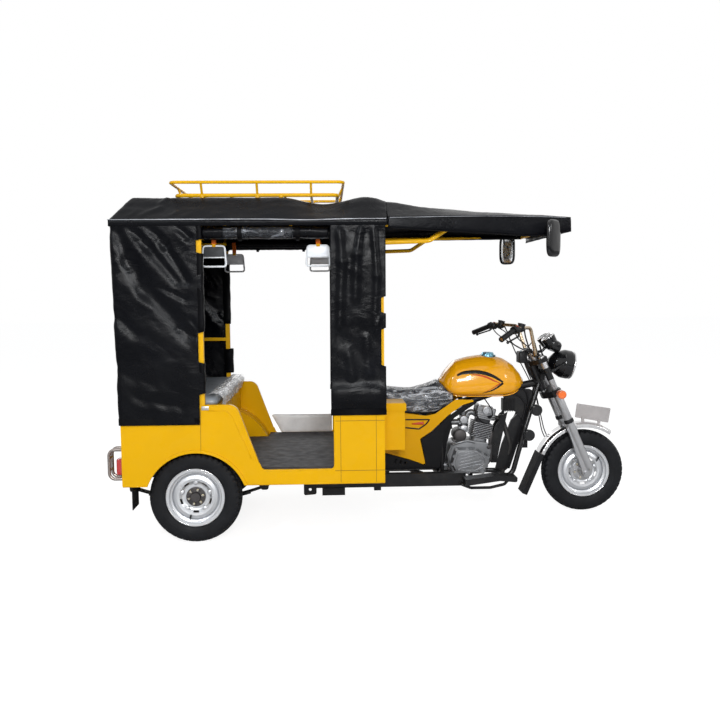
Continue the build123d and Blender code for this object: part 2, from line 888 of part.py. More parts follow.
with BuildPart() as roof_rack:
    for (rear, front, half), z, radius in (
        (rack_bottom, rack_bottom_z, rack_rail_radius),
        (rack_top, rack_top_z, rack_top_radius),
    ):
        with BuildLine(Plane.XY.offset(z)) as ring:
            FilletPolyline(
                (ahead(front), -half),
                (ahead(front), half),
                (ahead(rear), half),
                (ahead(rear), -half),
                radius=36,
                close=True,
            )
        loop = ring.wire()
        with BuildSketch(Plane(origin=loop @ 0, z_dir=loop % 0)) as ring_section:
            Circle(radius)
        sweep(sections=ring_section.sketch, path=loop)
    for side in (-1, 1):
        for place in rack_post_places:
            rod(
                (ahead(place), side * rack_bottom[2], rack_bottom_z),
                (ahead(place), side * rack_top[2], rack_top_z),
                7,
            )
        for y in (side * 215,):
            for end in (0, 1):
                rod(
                    (ahead(rack_bottom[end]), y, rack_bottom_z),
                    (ahead(rack_top[end]), y, rack_top_z),
                    7,
                )
    for place in (*rack_post_places, 218, 529):
        rod(
            (ahead(place), -rack_bottom[2], rack_bottom_z),
            (ahead(place), rack_bottom[2], rack_bottom_z),
            8,
        )
    # feet that stand on the roof where it lies flat
    for place in (60, 375, 510):
        for side in (-1, 1):
            rod(
                (ahead(place), side * rack_bottom[2], roof_z + seat_gap),
                (ahead(place), side * rack_bottom[2], rack_bottom_z),
                13,
            )
finish(roof_rack.part, "roof_rack")

# ================================================================ mirrors and grab handles
mirror_x = 2052.0
mirror_y = 586.0
mirror_z = 1728.0
mirror_size = (118.0, 24.0, 206.0)
mirror_turn = 42.0
stem_x = mirror_x - 44.0
edge_tube_slope = (pillar_y - 6 - (visor_half_width - 34)) / (visor_front - 40 - front_pillar)
edge_tube_y = pillar_y - 6 - (stem_x - front_pillar) * edge_tube_slope
with BuildPart() as mirrors:
    mirror_plane = Plane(
        origin=(ahead(mirror_x), -mirror_y, mirror_z),
        x_dir=(cos(radians(mirror_turn)), sin(radians(mirror_turn)), 0),
        z_dir=(0, 0, 1),
    )
    with Locations(mirror_plane):
        Box(*mirror_size)
    fillet(edges().filter_by(Axis.Z), 9)
    fillet(edges().group_by(Axis.Z)[0] + edges().group_by(Axis.Z)[-1], 7)
    # stem from the back of the housing to the visor's edge tube
    tube(
        [
            (ahead(mirror_x), -mirror_y, mirror_z + 14),
            (ahead(mirror_x - 24), -mirror_y + 44, mirror_z + 20),
            (ahead(stem_x), -edge_tube_y, visor_frame_z - 40),
            (ahead(stem_x), -edge_tube_y, visor_frame_z - 10 - seat_gap),
        ],
        6,
        [16, 14],
    )
    both_sides()
finish(mirrors.part, "mirrors")

grip_width = 138.0
grip_height = 104.0
grip_thickness = 15.0
grip_top_z = 1684.0
grab_places = [130.0, 720.0]
strap_low_z = grip_top_z - 3.8  # centre of the strap's lower bend, in the grip's upper slot
with BuildPart() as grab_handles:
    for place in grab_places:
        with BuildSketch(side_plane(-handle_rail_y - grip_thickness / 2)):
            with Locations((ahead(place), grip_top_z - grip_height / 2)):
                Trapezoid(grip_width, grip_height, 84)
            fillet(vertices(), 20)
            with Locations((ahead(place), grip_top_z - 76)):
                SlotOverall(104, 34, mode=Mode.SUBTRACT)
            with Locations((ahead(place), grip_top_z - 22)):
                SlotOverall(44, 16, mode=Mode.SUBTRACT)
        extrude(amount=-grip_thickness)
    for place in grab_places:
        # strap: a loop of webbing over the rail and through the grip's upper slot
        with BuildSketch(Plane.YZ.offset(ahead(place - 15))):
            with BuildLine():
                top = CenterArc((-handle_rail_y, handle_rail_z), 13.5, 0, 180)
                low = CenterArc((-handle_rail_y, strap_low_z), 13.5, 180, 180)
                Line(top @ 1, low @ 0)
                Line(low @ 1, top @ 0)
            make_face()
            with BuildLine():
                inner_top = CenterArc((-handle_rail_y, handle_rail_z), 10.5, 0, 180)
                inner_low = CenterArc((-handle_rail_y, strap_low_z), 10.5, 180, 180)
                Line(inner_top @ 1, inner_low @ 0)
                Line(inner_low @ 1, inner_top @ 0)
            make_face(mode=Mode.SUBTRACT)
        extrude(amount=30)
    both_sides()
finish(grab_handles.part, "grab_handles")

# ================================================================ tail
lamp_y = 535.0
lamp_depth = 46.0
lamp_z = 450.0
lamp_size = (60.0, 96.0)
guard_y = (500.0, 570.0)
guard_low_z = 384.0
guard_high_z = 552.0
guard_radius = 9.0
with BuildPart() as tail_lamps:
    with BuildSketch(Plane.YZ.offset(ahead(tub_rear))):
        with Locations((-lamp_y, lamp_z)):
            RectangleRounded(*lamp_size, 14)
    extrude(amount=-lamp_depth)
    fillet(faces().sort_by(Axis.X)[0].edges(), 8)
    both_sides()
finish(tail_lamps.part, "tail_lamps")

with BuildPart() as rear_guards:
    back = -rear_reach + guard_radius
    for y in guard_y:
        tube(
            [
                (ahead(tub_rear), -y, guard_high_z),
                (ahead(back), -y, guard_high_z),
                (ahead(back), -y, guard_low_z),
                (ahead(tub_rear), -y, guard_low_z),
            ],
            guard_radius,
            34,
        )
        for z in (guard_low_z, guard_high_z):
            rod((ahead(tub_rear - 5), -y, z), (ahead(tub_rear), -y, z), 18)
    for z in (guard_low_z + 50, guard_high_z - 50):
        rod((ahead(back), -guard_y[0], z), (ahead(back), -guard_y[1], z), 7)
    both_sides()
finish(rear_guards.part, "rear_guards")

flap_bottom_z = 206.0
with BuildPart() as rear_flaps:
    block(
        (ahead(-352), -rear_wheel_y - 70, flap_bottom_z),
        (ahead(-347), -rear_wheel_y + 70, sill_z - sheet),
    )
    both_sides()
finish(rear_flaps.part, "rear_flaps")

# ================================================================ motorcycle frame
head_s = (588.0, 766.0)  # head tube's ends, measured up along the fork from the axle
stem_radius = 15.0
head_radius = 27.0
down_tube_radius = 16.0
cradle_z = beam_bottom_z + down_tube_radius
horn_places = [(2092, 676), (2046, 516)]
horn_y = 88.0
saddle_seat_z = {1160: 706.0, 1380: 676.0}  # saddle's underside over each post
saddle_seat_gap = 0.8
backbone_radius = 24.0
tunnel_half = backbone_radius + 6.0  # half width of the tunnel in the tank
engine_bottom_z = 276.0
with BuildPart() as bike_frame:
    head_low = on_fork(-axis_behind_axle, 0, head_s[0])
    head_high = on_fork(-axis_behind_axle, 0, head_s[1])
    # backbone under the tank and on under the saddle to the tub's front wall
    tube(
        [
            on_fork(-axis_behind_axle - 10, 0, 650),
            (ahead(1880), 0, 796),
            (ahead(1640), 0, 716),
            (ahead(1420), 0, 616),
            (ahead(tub_front), 0, 616),
        ],
        backbone_radius,
        [120, 300, 120],
    )
    # tank rests: a cross pin in the tunnel and a post under the tank's rear
    rod(
        (ahead(1900), -tunnel_half + seat_gap, 800), (ahead(1900), tunnel_half - seat_gap, 800), 12
    )
    block((ahead(1608), -16, 700), (ahead(1632), 16, 768 - 1.4))
    # engine mounts: cross tubes under the case, each with two pads
    for place in (1600, 1680):
        rod((ahead(place), -118, cradle_z), (ahead(place), 118, cradle_z), 11)
        for y in (-45, 45):
            block(
                (ahead(place - 12), y - 15, cradle_z), (ahead(place + 12), y + 15, engine_bottom_z)
            )
    # saddle posts on the backbone
    for place in saddle_seat_z:
        block((ahead(place - 20), -60, 616), (ahead(place + 20), 60, 640))
        for y in (-50, 50):
            block(
                (ahead(place - 14), y - 10, 630),
                (ahead(place + 14), y + 10, saddle_seat_z[place] - saddle_seat_gap),
            )
    for side in (-1, 1):
        # cradle: head tube, down in front of the engine, back under it to the cross bar
        tube(
            [
                on_fork(-axis_behind_axle - 12, side * 16, 640),
                (ahead(2030), side * 62, 560),
                (ahead(1940), side * 84, cradle_z),
                (ahead(1640), side * 120, cradle_z),
                (ahead(cross_bar + 20), side * 120, cradle_z),
            ],
            down_tube_radius,
            [80, 70, 200],
        )
        # seat rail stays from the backbone down to the cross bar
        tube(
            [
                (ahead(1560), side * 8, 680),
                (ahead(1470), side * 112, 540),
                (ahead(cross_bar), side * 112, 420),
                (ahead(cross_bar), side * 112, cross_bar_top_z),
            ],
            13,
            [90, 200],
        )
        # gusset plates between head tube, backbone and down tubes
        slab(
            side_plane(side * 20 + 3),
            [
                (ahead(2080), 800),
                (ahead(1900), 806),
                (ahead(1905), 742),
                (ahead(2035), 590),
                (ahead(2100), 680),
            ],
            [10, 20, 40, 20, 20],
            -6,
        )
    rod((ahead(2030), -62, 560), (ahead(2030), 62, 560), 11)
    # studs that hold the lower covers
    for side in (-1, 1):
        rod((ahead(1472), side * 112, 530), (ahead(1472), side * (cover_y - 2), 530), 8)
    # tabs that carry the horns
    for x, z in horn_places:
        rod((ahead(x - 26), -40, z), (ahead(x - 26), -horn_y, z), 6)
    # head tube, bored for the stem
    tube([head_low, head_high], head_radius)
    with BuildSketch(
        Plane(origin=on_fork(-axis_behind_axle, 0, head_s[0] - 30), z_dir=fork_plane.z_dir)
    ) as bore:
        Circle(stem_radius + running_gap)
    extrude(to_extrude=bore.sketch, amount=head_s[1] - head_s[0] + 60, mode=Mode.SUBTRACT)
finish(bike_frame.part, "bike_frame")

with BuildPart() as horns:
    for x, z in horn_places:
        with BuildSketch(side_plane(-horn_y)):
            with Locations((ahead(x), z)):
                Circle(36)
        extrude(amount=22)
        with BuildSketch(side_plane(-horn_y - 22)):
            with Locations((ahead(x), z)):
                Circle(30)
        extrude(amount=8)
finish(horns.part, "horns")

# ================================================================ tank, saddle and covers
tank_sections = [  # distance ahead, low z, high z, half width, corner radius
    (1476, 846, 884, 46, 16),
    (1530, 790, 950, 100, 56),
    (1620, 768, 1004, 132, 84),
    (1760, 764, 1026, 142, 92),
    (1880, 766, 1008, 134, 88),
    (1965, 792, 950, 96, 60),
    (2012, 836, 880, 40, 18),
]
with BuildPart() as fuel_tank:
    faces_along = []
    for x, low, high, half, radius in tank_sections:
        with BuildSketch(Plane.YZ.offset(ahead(x))) as tank_section:
            with Locations((0, (low + high) / 2)):
                RectangleRounded(2 * half, high - low, radius)
        faces_along.append(tank_section.sketch)
    loft(faces_along)
    # tunnel that straddles the backbone
    slab(
        side_plane(tunnel_half),
        [
            (ahead(1450), 600),
            (ahead(2100), 600),
            (ahead(2100), 874),
            (ahead(1884), 829),
            (ahead(1640), 752),
            (ahead(1450), 664),
        ],
        [0, 0, 0, 40, 60, 0],
        -2 * tunnel_half,
        mode=Mode.SUBTRACT,
    )
finish(fuel_tank.part, "fuel_tank")

saddle_sections = [  # distance ahead, low z, high z, half width
    (1108, 708, 842, 138),
    (1190, 706, 832, 146),
    (1290, 690, 826, 142),
    (1380, 676, 846, 120),
    (1470, 700, 886, 86),
]
with BuildPart() as saddle:
    faces_along = []
    for x, low, high, half in saddle_sections:
        with BuildSketch(Plane.YZ.offset(ahead(x))) as saddle_section:
            with Locations((0, (low + high) / 2)):
                RectangleRounded(2 * half, high - low, 42)
        faces_along.append(saddle_section.sketch)
    loft(faces_along)
finish(saddle.part, "saddle")

cover_thickness = 10.0
yellow_outline = [  # distance ahead, z, corner radius
    (1112, 700, 4),
    (1262, 672, 40),
    (1380, 656, 40),
    (1440, 668, 20),
    (1566, 756, 30),
    (1712, 752, 6),
    (1612, 722, 60),
    (1516, 654, 60),
    (1413, 556, 30),
    (1342, 511, 14),
    (1378, 342, 10),
    (1280, 380, 10),
    (1112, 428, 4),
]
black_outline = [
    (1112, 424, 4),
    (1280, 375, 10),
    (1384, 336, 10),
    (1350, 508, 14),
    (1420, 551, 30),
    (1522, 649, 60),
    (1616, 716, 60),
    (1716, 747, 4),
    (1690, 726, 60),
    (1560, 640, 60),
    (1496, 560, 40),
    (1480, 440, 60),
    (1468, 320, 20),
    (1112, 318, 4),
]
with BuildPart() as side_covers:
    slab(
        side_plane(-cover_y - cover_thickness),
        [(ahead(x), z) for x, z, _ in yellow_outline],
        [r for *_, r in yellow_outline],
        cover_thickness,
    )
    both_sides()
finish(side_covers.part, "side_covers")

with BuildPart() as lower_covers:
    slab(
        side_plane(-cover_y - cover_thickness + 2),
        [(ahead(x), z) for x, z, _ in black_outline],
        [r for *_, r in black_outline],
        cover_thickness,
    )
    # three slanted vents
    with BuildSketch(side_plane(-cover_y - cover_thickness + 2)) as vents:
        for number in range(3):
            with Locations((ahead(1189 + 30 * number), 372 - 7 * number)):
                SlotOverall(28 - 4 * number, 13, rotation=70)
    extrude(to_extrude=vents.sketch, amount=-2 * cover_thickness, mode=Mode.SUBTRACT)
    both_sides()
finish(lower_covers.part, "lower_covers")

# ================================================================ tool box
box_y = (-404.0, -226.0)
box_front = 1222.0
box_low_z = 494.0
box_high_z = 730.0
box_gauge = 3.0
lid_height = 46.0
lid_lip = 8.0
hinge_radius = 5.0
with BuildPart() as tool_box:
    block(
        (ahead(tub_front), box_y[0], box_low_z),
        (ahead(box_front), box_y[1], box_high_z),
    )
    block(
        (ahead(tub_front + box_gauge), box_y[0] + box_gauge, box_low_z + box_gauge),
        (ahead(box_front - box_gauge), box_y[1] - box_gauge, box_high_z),
        mode=Mode.SUBTRACT,
    )
finish(tool_box.part, "tool_box")

hinge_x = ahead(tub_front + hinge_radius + 6)
hinge_z = box_high_z + lid_height
with BuildPart() as tool_box_lid:
    block(
        (hinge_x, box_y[0] - lid_lip, box_high_z + seat_gap),
        (ahead(box_front + lid_lip), box_y[1] + lid_lip, hinge_z),
    )
    fillet(edges().group_by(Axis.Z)[-1].sort_by(Axis.X)[-1], 10)
    block(
        (hinge_x + box_gauge, box_y[0] - lid_lip + box_gauge, box_high_z - 1),
        (ahead(box_front + lid_lip - box_gauge), box_y[1] + lid_lip - box_gauge, hinge_z - box_gauge),
        mode=Mode.SUBTRACT,
    )
    rod((hinge_x, box_y[0] + 20, hinge_z - 1), (hinge_x, box_y[1] - 20, hinge_z - 1), hinge_radius)
finish(tool_box_lid.part, "tool_box_lid")

# ================================================================ engine
cylinder_lean = 13.0
cylinder_foot = (ahead(1738), 0, 492)
cylinder_plane = Plane(
    origin=cylinder_foot,
    x_dir=(cos(radians(cylinder_lean)), 0, -sin(radians(cylinder_lean))),
    z_dir=(sin(radians(cylinder_lean)), 0, cos(radians(cylinder_lean))),
)
engine_y = 92.0
cover_out = 148.0
with BuildPart() as engine_case:
    with BuildSketch(side_plane(engine_y)) as case:
        with BuildLine():
            FilletPolyline(
                (ahead(1522), 340),
                (ahead(1562), engine_bottom_z),
                (ahead(1732), engine_bottom_z),
                (ahead(1790), 330),
                (ahead(1806), 420),
                (ahead(1780), 470),
                (ahead(1660), 486),
                (ahead(1540), 470),
                radius=[30, 20, 30, 40, 30, 10, 20, 40],
                close=True,
            )
        make_face()
    extrude(to_extrude=case.sketch, amount=2 * engine_y)
    fillet(edges().filter_by(Axis.Y, reverse=True), 6)
    # right clutch cover and left magneto cover
    with BuildSketch(side_plane(-engine_y)) as clutch_cover:
        with BuildLine():
            FilletPolyline(
                (ahead(1570), 446),
                (ahead(1690), 444),
                (ahead(1786), 392),
                (ahead(1774), 322),
                (ahead(1728), 284),
                (ahead(1572), 284),
                (ahead(1540), 350),
                radius=[20, 30, 24, 30, 24, 24, 40],
                close=True,
            )
        make_face()
    extrude(to_extrude=clutch_cover.sketch, amount=cover_out - engine_y, taper=8)
    with BuildSketch(side_plane(engine_y)) as magneto_cover:
        with Locations((ahead(1700), 372)):
            Circle(84)
    extrude(to_extrude=magneto_cover.sketch, amount=-(cover_out - engine_y), taper=8)
    # seat for the cylinder and the output boss at the back
    with BuildSketch(cylinder_plane) as cylinder_seat:
        RectangleRounded(104, 108, 30)
    extrude(to_extrude=cylinder_seat.sketch, amount=-50)
    rod((ahead(gearbox_rear + 0.8), 0, shaft_front_z), (ahead(1560), 0, shaft_front_z), 30)
finish(engine_case.part, "engine_case")

fin_pitch = 11.0
fin_gauge = 3.5
fin_count = 9
fin_size = (136.0, 142.0)
with BuildPart() as engine_cylinder:
    with BuildSketch(cylinder_plane):
        RectangleRounded(96, 100, 30)
    extrude(amount=128)
    for number in range(fin_count):
        with BuildSketch(cylinder_plane.offset(8 + number * fin_pitch)):
            RectangleRounded(*fin_size, 22)
        extrude(amount=fin_gauge)
finish(engine_cylinder.part, "engine_cylinder")

with BuildPart() as engine_head:
    with BuildSketch(cylinder_plane.offset(128)):
        RectangleRounded(116, 122, 18)
    extrude(amount=40)
    for number in range(3):
        with BuildSketch(cylinder_plane.offset(130 + number * 12)):
            RectangleRounded(132, 138, 16)
        extrude(amount=4)
    with BuildSketch(cylinder_plane.offset(168)):
        RectangleRounded(128, 116, 14)
    extrude(amount=38)
    fillet(faces().sort_by(Axis(cylinder_foot, cylinder_plane.z_dir))[-1].edges(), 8)
finish(engine_head.part, "engine_head")

# the inlet leaves the head square to its back face
inlet_end = (cylinder_plane * Pos(-66.3, 0, 150)).position
inlet_turn = (cylinder_plane * Pos(-104, 0, 150)).position
with BuildPart() as carburettor:
    # inlet stub from the head, body, float bowl and hose back to the air box
    tube(
        [
            inlet_end,
            inlet_turn,
            (ahead(1650), 0, 592),
            (ahead(1560), 0, 592),
        ],
        19,
        [30, 30],
    )
    rod((ahead(1670), 0, 592), (ahead(1604), 0, 592), 27)
    rod((ahead(1638), 0, 526), (ahead(1638), 0, 660), 24)
    block((ahead(1608), -30, 530), (ahead(1668), 30, 566))
    rod((ahead(1562), 0, 574), (ahead(1485), 0, 554), 27)
    block((ahead(1392), -50, 520), (ahead(1490), 50, 586))
finish(carburettor.part, "carburettor")

pipe_radius = 16.0
silencer_radius = 46.0
silencer_y = 125.0
silencer_z = 262.0
exhaust_port = (cylinder_plane * Pos(66.3, 0, 146)).position
exhaust_turn = (cylinder_plane * Pos(128, 0, 146)).position
with BuildPart() as exhaust:
    tube(
        [
            exhaust_port,
            exhaust_turn,
            (ahead(1950), 0, 430),
            (ahead(1890), 26, 214),
            (ahead(1700), 58, 208),
            (ahead(1440), 100, 208),
            (ahead(1300), silencer_y, silencer_z),
            (ahead(1160), silencer_y, silencer_z),
        ],
        pipe_radius,
        [46, 90, 60, 100, 60, 60],
    )
    rod(
        (ahead(640), silencer_y, silencer_z), (ahead(1165), silencer_y, silencer_z), silencer_radius
    )
    rod((ahead(590), silencer_y, silencer_z), (ahead(640), silencer_y, silencer_z), pipe_radius)
finish(exhaust.part, "exhaust")

step_y = (-388.0, -292.0)
with BuildPart() as foot_steps:
    # sloping step plate with its toe, and a tube that loops under it
    slab(
        side_plane(step_y[0]),
        [
            (ahead(1590), 300),
            (ahead(1804), 326),
            (ahead(1906), 314),
            (ahead(1904), 280),
            (ahead(1800), 290),
            (ahead(1590), 262),
        ],
        [3, 20, 10, 10, 20, 3],
        step_y[1] - step_y[0],
    )
    rod(
        (ahead(1600), step_y[1] - 2, 284), (ahead(1600), -beam_y - beam_width / 2, 284), 11
    )
    tube(
        [
            (ahead(1580), -beam_y - beam_width / 2, 250),
            (ahead(1580), step_y[1] + 8, 250),
            (ahead(1640), step_y[1] + 8, 226),
            (ahead(1760), step_y[1] + 8, 226),
            (ahead(1850), step_y[1] + 8, 246),
            (ahead(1884), step_y[1] + 8, 290),
        ],
        9,
        [14, 40, 60, 30],
    )
    both_sides()
finish(foot_steps.part, "foot_steps")

# ================================================================ steering
stanchion_radius = 17.0
slider_radius = 26.0
slider_top = 345.0
fork_top = 812.0
lower_clamp_s = (540.0, 578.0)
upper_clamp_s = (774.0, 800.0)
lug_top = axle_z + 54.0
bar_radius = 11.0
bar_clamp = on_fork(-axis_behind_axle + 22, 0, upper_clamp_s[1] + 30)


def clamp_plate(s_range, half_width, name_radius):
    """Fork clamp between two heights up the fork, round at both legs."""
    low, high = s_range
    with BuildSketch(fork_plane.offset(low)) as plate:
        with BuildLine():
            FilletPolyline(
                (-half_width, legs_ahead_of_axle - 28),
                (-half_width, legs_ahead_of_axle + 30),
                (half_width, legs_ahead_of_axle + 30),
                (half_width, legs_ahead_of_axle - 28),
                (28, -axis_behind_axle - 24),
                (-28, -axis_behind_axle - 24),
                radius=name_radius,
                close=True,
            )
        make_face()
    extrude(to_extrude=plate.sketch, amount=high - low)


with BuildPart() as fork:
    for side in (-1, 1):
        y = side * leg_y
        rod(
            on_fork(legs_ahead_of_axle, y, slider_top - 40),
            on_fork(legs_ahead_of_axle, y, fork_top),
            stanchion_radius,
        )
        rod(
            on_fork(legs_ahead_of_axle, y, 20),
            on_fork(legs_ahead_of_axle, y, slider_top),
            slider_radius,
        )
        rod(
            on_fork(legs_ahead_of_axle, y, slider_top),
            on_fork(legs_ahead_of_axle, y, slider_top + 22),
            slider_radius + 4,
        )
        # tapering shield that runs down to the axle lug
        shield = [(6, -30), (60, 316), (2, 330), (-24, -24)]
        with BuildSketch(side_plane(y + 15)) as leg_shield:
            with BuildLine():
                FilletPolyline(
                    *[(on_fork(a, 0, b)[0], on_fork(a, 0, b)[2]) for a, b in shield],
                    radius=[14, 16, 16, 14],
                    close=True,
                )
            make_face()
        extrude(to_extrude=leg_shield.sketch, amount=30)
        rod((front_x, y - 15, axle_z), (front_x, y + 15, axle_z), 22)
    clamp_plate(lower_clamp_s, leg_y + 30, 18)
    clamp_plate(upper_clamp_s, leg_y + 28, 16)
    rod(
        on_fork(-axis_behind_axle, 0, lower_clamp_s[0]),
        on_fork(-axis_behind_axle, 0, upper_clamp_s[1] + 8),
        stem_radius,
    )
    # axle pin and its nuts
    rod((front_x, -leg_y - 24, axle_z), (front_x, leg_y + 24, axle_z), axle_pin_radius)
    for side in (-1, 1):
        rod(
            (front_x, side * (leg_y + 15), axle_z),
            (front_x, side * (leg_y + 27), axle_z),
            15,
        )
    # posts that hold the handlebar above the upper clamp
    for y in (-42, 42):
        rod(
            on_fork(-axis_behind_axle + 22, y, upper_clamp_s[1] - 6),
            on_fork(-axis_behind_axle + 22, y, upper_clamp_s[1] + 46),
            17,
        )
    # brake plate beside the hub's left face with its cable lug
    rod((front_x, front_hub_half + 4, axle_z), (front_x, front_hub_half + 9, axle_z), 76)
    block(
        (front_x - 64, front_hub_half + 6, axle_z + 34),
        (front_x - 34, front_hub_half + 18, lug_top),
    )
    # the handlebar lies in a hole through both posts
    bar_x, _, bar_z = bar_clamp
    with BuildSketch(side_plane(70)) as bar_seat:
        with Locations((bar_x, bar_z)):
            Circle(bar_radius + seat_gap)
    extrude(to_extrude=bar_seat.sketch, amount=140, mode=Mode.SUBTRACT)
finish(fork.part, "fork")

grip_inner = (1884.0, 352.0, 1198.0)
grip_outer = (1790.0, 446.0, 1150.0)
bar_reach = 0.3  # how far the straight end runs on past the grip, as a share of the grip
bar_bend = [b + bar_reach * (b - a) for a, b in zip(grip_outer, grip_inner)]
with BuildPart() as handlebar:
    tube(
        [
            (ahead(grip_outer[0]), -grip_outer[1], grip_outer[2]),
            (ahead(bar_bend[0]), -bar_bend[1], bar_bend[2]),
            (ahead(2030), -172, 1204),
            (bar_x, -118, bar_z),
            (bar_x, 118, bar_z),
            (ahead(2030), 172, 1204),
            (ahead(bar_bend[0]), bar_bend[1], bar_bend[2]),
            (ahead(grip_outer[0]), grip_outer[1], grip_outer[2]),
        ],
        bar_radius,
        [60, 40, 36, 36, 40, 60],
    )
finish(handlebar.part, "handlebar")

grip_radius = 17.0
switch_reach = 14.0
grip_along = (Vector(*grip_inner) - Vector(*grip_outer)).normalized()
grip_down = (Vector(0, 0, -1) + grip_along * grip_along.Z).normalized()
with BuildPart() as hand_controls:
    along = grip_along
    outer = Vector(ahead(grip_outer[0]), grip_outer[1], grip_outer[2])
    inner = Vector(ahead(grip_inner[0]), grip_inner[1], grip_inner[2])
    grip_end = outer - along * 6
    switch_end = inner + along * switch_reach
    rod(grip_end, inner - along * 4, grip_radius)
    rod(inner - along * 6, switch_end, 24)
    # lever blade with its ball end
    lever_out = (Vector(1, 0, 0) - along * along.X).normalized()
    lever_root = inner + along * 4 + lever_out * 36
    lever_mid = inner - along * 50 + lever_out * 58
    lever_tip = outer - along * 8 + lever_out * 46
    rod(inner + along * 4, lever_root, 8)
    with BuildSketch(Plane(origin=grip_end - along, z_dir=along)) as passage:
        Circle(bar_radius + seat_gap)
    extrude(
        to_extrude=passage.sketch, amount=(switch_end - grip_end).length + 2, mode=Mode.SUBTRACT
    )
    rod(lever_root, lever_mid, 6)
    rod(lever_mid, lever_tip, 5)
    with Locations(lever_tip):
        Sphere(9)
    with Locations(lever_mid):
        Sphere(6)
    both_sides()
finish(hand_controls.part, "hand_controls")

lamp_centre = (2262.0, 968.0)
lamp_radius = 92.0
lamp_tilt = 12.0
lamp_pivot = (ahead(2270), 0, 972)
with BuildPart() as headlamp:
    lamp_plane = Plane(
        origin=(ahead(lamp_centre[0]), 0, lamp_centre[1]),
        x_dir=(0, -1, 0),
        z_dir=(cos(radians(lamp_tilt)), 0, -sin(radians(lamp_tilt))),
    )
    with BuildSketch(Plane(lamp_plane.origin, x_dir=lamp_plane.z_dir, z_dir=(0, -1, 0))) as bowl:
        with BuildLine():
            FilletPolyline(
                (78, 0),
                (78, lamp_radius - 6),
                (64, lamp_radius),
                (20, lamp_radius),
                (-40, 64),
                (-72, 24),
                (-72, 0),
                radius=[0, 3, 4, 40, 40, 16, 0],
                close=True,
            )
        make_face()
    revolve(bowl.sketch, axis=Axis(lamp_plane.origin, lamp_plane.z_dir))
    # an ear on each side with a collar round the fork tube
    for side in (-1, 1):
        y = side * leg_y
        x, _, z = lamp_pivot
        rod((x, side * 50, z), (x, side * (leg_y + 4), z), 9)
        with BuildLine() as ear_line:
            Line(on_fork(legs_ahead_of_axle, y, 690), (x, y, z))
        rod(ear_line.line @ 0, ear_line.line @ 1, 8)
        rod(
            on_fork(legs_ahead_of_axle, y, 650),
            on_fork(legs_ahead_of_axle, y, 730),
            stanchion_radius + 5,
        )
        with BuildSketch(
            Plane(origin=on_fork(legs_ahead_of_axle, y, 640), z_dir=fork_plane.z_dir)
        ) as collar_bore:
            Circle(stanchion_radius + seat_gap)
        extrude(to_extrude=collar_bore.sketch, amount=100, mode=Mode.SUBTRACT)
finish(headlamp.part, "headlamp")

pod_centre = (2190.0, 1108.0)
pod_tilt = 32.0
with BuildPart() as instrument_pod:
    pod_plane = Plane(
        origin=(ahead(pod_centre[0]), 0, pod_centre[1]),
        x_dir=(0, 1, 0),
        z_dir=(-sin(radians(pod_tilt)), 0, cos(radians(pod_tilt))),
    )
    for y in (-52, 52):
        with BuildSketch(pod_plane.offset(-34)) as cup:
            with Locations((y, 0)):
                Circle(38)
        extrude(to_extrude=cup.sketch, amount=66, taper=-8)
    with BuildSketch(pod_plane.offset(-34)) as pod_body:
        RectangleRounded(70, 60, 10)
    extrude(to_extrude=pod_body.sketch, amount=50)
    # stay down to the upper clamp
    tube(
        [
            (ahead(pod_centre[0] - 4), 0, pod_centre[1] - 26),
            (ahead(2150), 0, 1046),
            on_fork(legs_ahead_of_axle + 8, 0, upper_clamp_s[1] + 30),
            on_fork(legs_ahead_of_axle + 8, 0, upper_clamp_s[1] + seat_gap),
        ],
        9,
        [14, 8],
    )
finish(instrument_pod.part, "instrument_pod")

with BuildPart() as turn_signals:
    root = on_fork(legs_ahead_of_axle, 0, (lower_clamp_s[0] + lower_clamp_s[1]) / 2)
    rod((root[0], -leg_y - 30 - seat_gap, root[2]), (root[0], -188, root[2]), 8)
    with BuildSketch(Plane(origin=(root[0], -188, root[2]), x_dir=(1, 0, 0), z_dir=(0, -1, 0))):
        Circle(27)
    extrude(amount=46)
    fillet(faces().sort_by(Axis.Y)[0].edges(), 10)
    both_sides()
finish(turn_signals.part, "turn_signals")

guard_outer = 318.0
guard_inner = 314.5
guard_half = 62.0
guard_skirt = 286.0
guard_start = 56.0
guard_sweep = 101.0
with BuildPart() as front_mudguard:
    start_dir = (cos(radians(guard_start)), 0, sin(radians(guard_start)))
    with BuildSketch(
        Plane(origin=(front_x, 0, axle_z), x_dir=start_dir, z_dir=Vector(*start_dir).cross(Vector(0, 1, 0)))
    ) as guard_section:
        with BuildLine():
            FilletPolyline(
                (guard_skirt, -guard_half),
                (guard_outer - 12, -guard_half),
                (guard_outer, -guard_half + 24),
                (guard_outer, guard_half - 24),
                (guard_outer - 12, guard_half),
                (guard_skirt, guard_half),
                (guard_skirt, guard_half - 3.5),
                (guard_inner - 12, guard_half - 3.5),
                (guard_inner, guard_half - 26),
                (guard_inner, -guard_half + 26),
                (guard_inner - 12, -guard_half + 3.5),
                (guard_skirt, -guard_half + 3.5),
                radius=[0, 6, 16, 16, 6, 0, 0, 4, 14, 14, 4, 0],
                close=True,
            )
        make_face()
    revolve(guard_section.sketch, axis=Axis((front_x, 0, axle_z), (0, -1, 0)), revolution_arc=guard_sweep)
    # stays to the fork legs
    for side in (-1, 1):
        rod(
            on_fork(legs_ahead_of_axle, side * (guard_half - 2), 300),
            on_fork(legs_ahead_of_axle, side * (leg_y - slider_radius - seat_gap), 300),
            9,
        )
finish(front_mudguard.part, "front_mudguard")

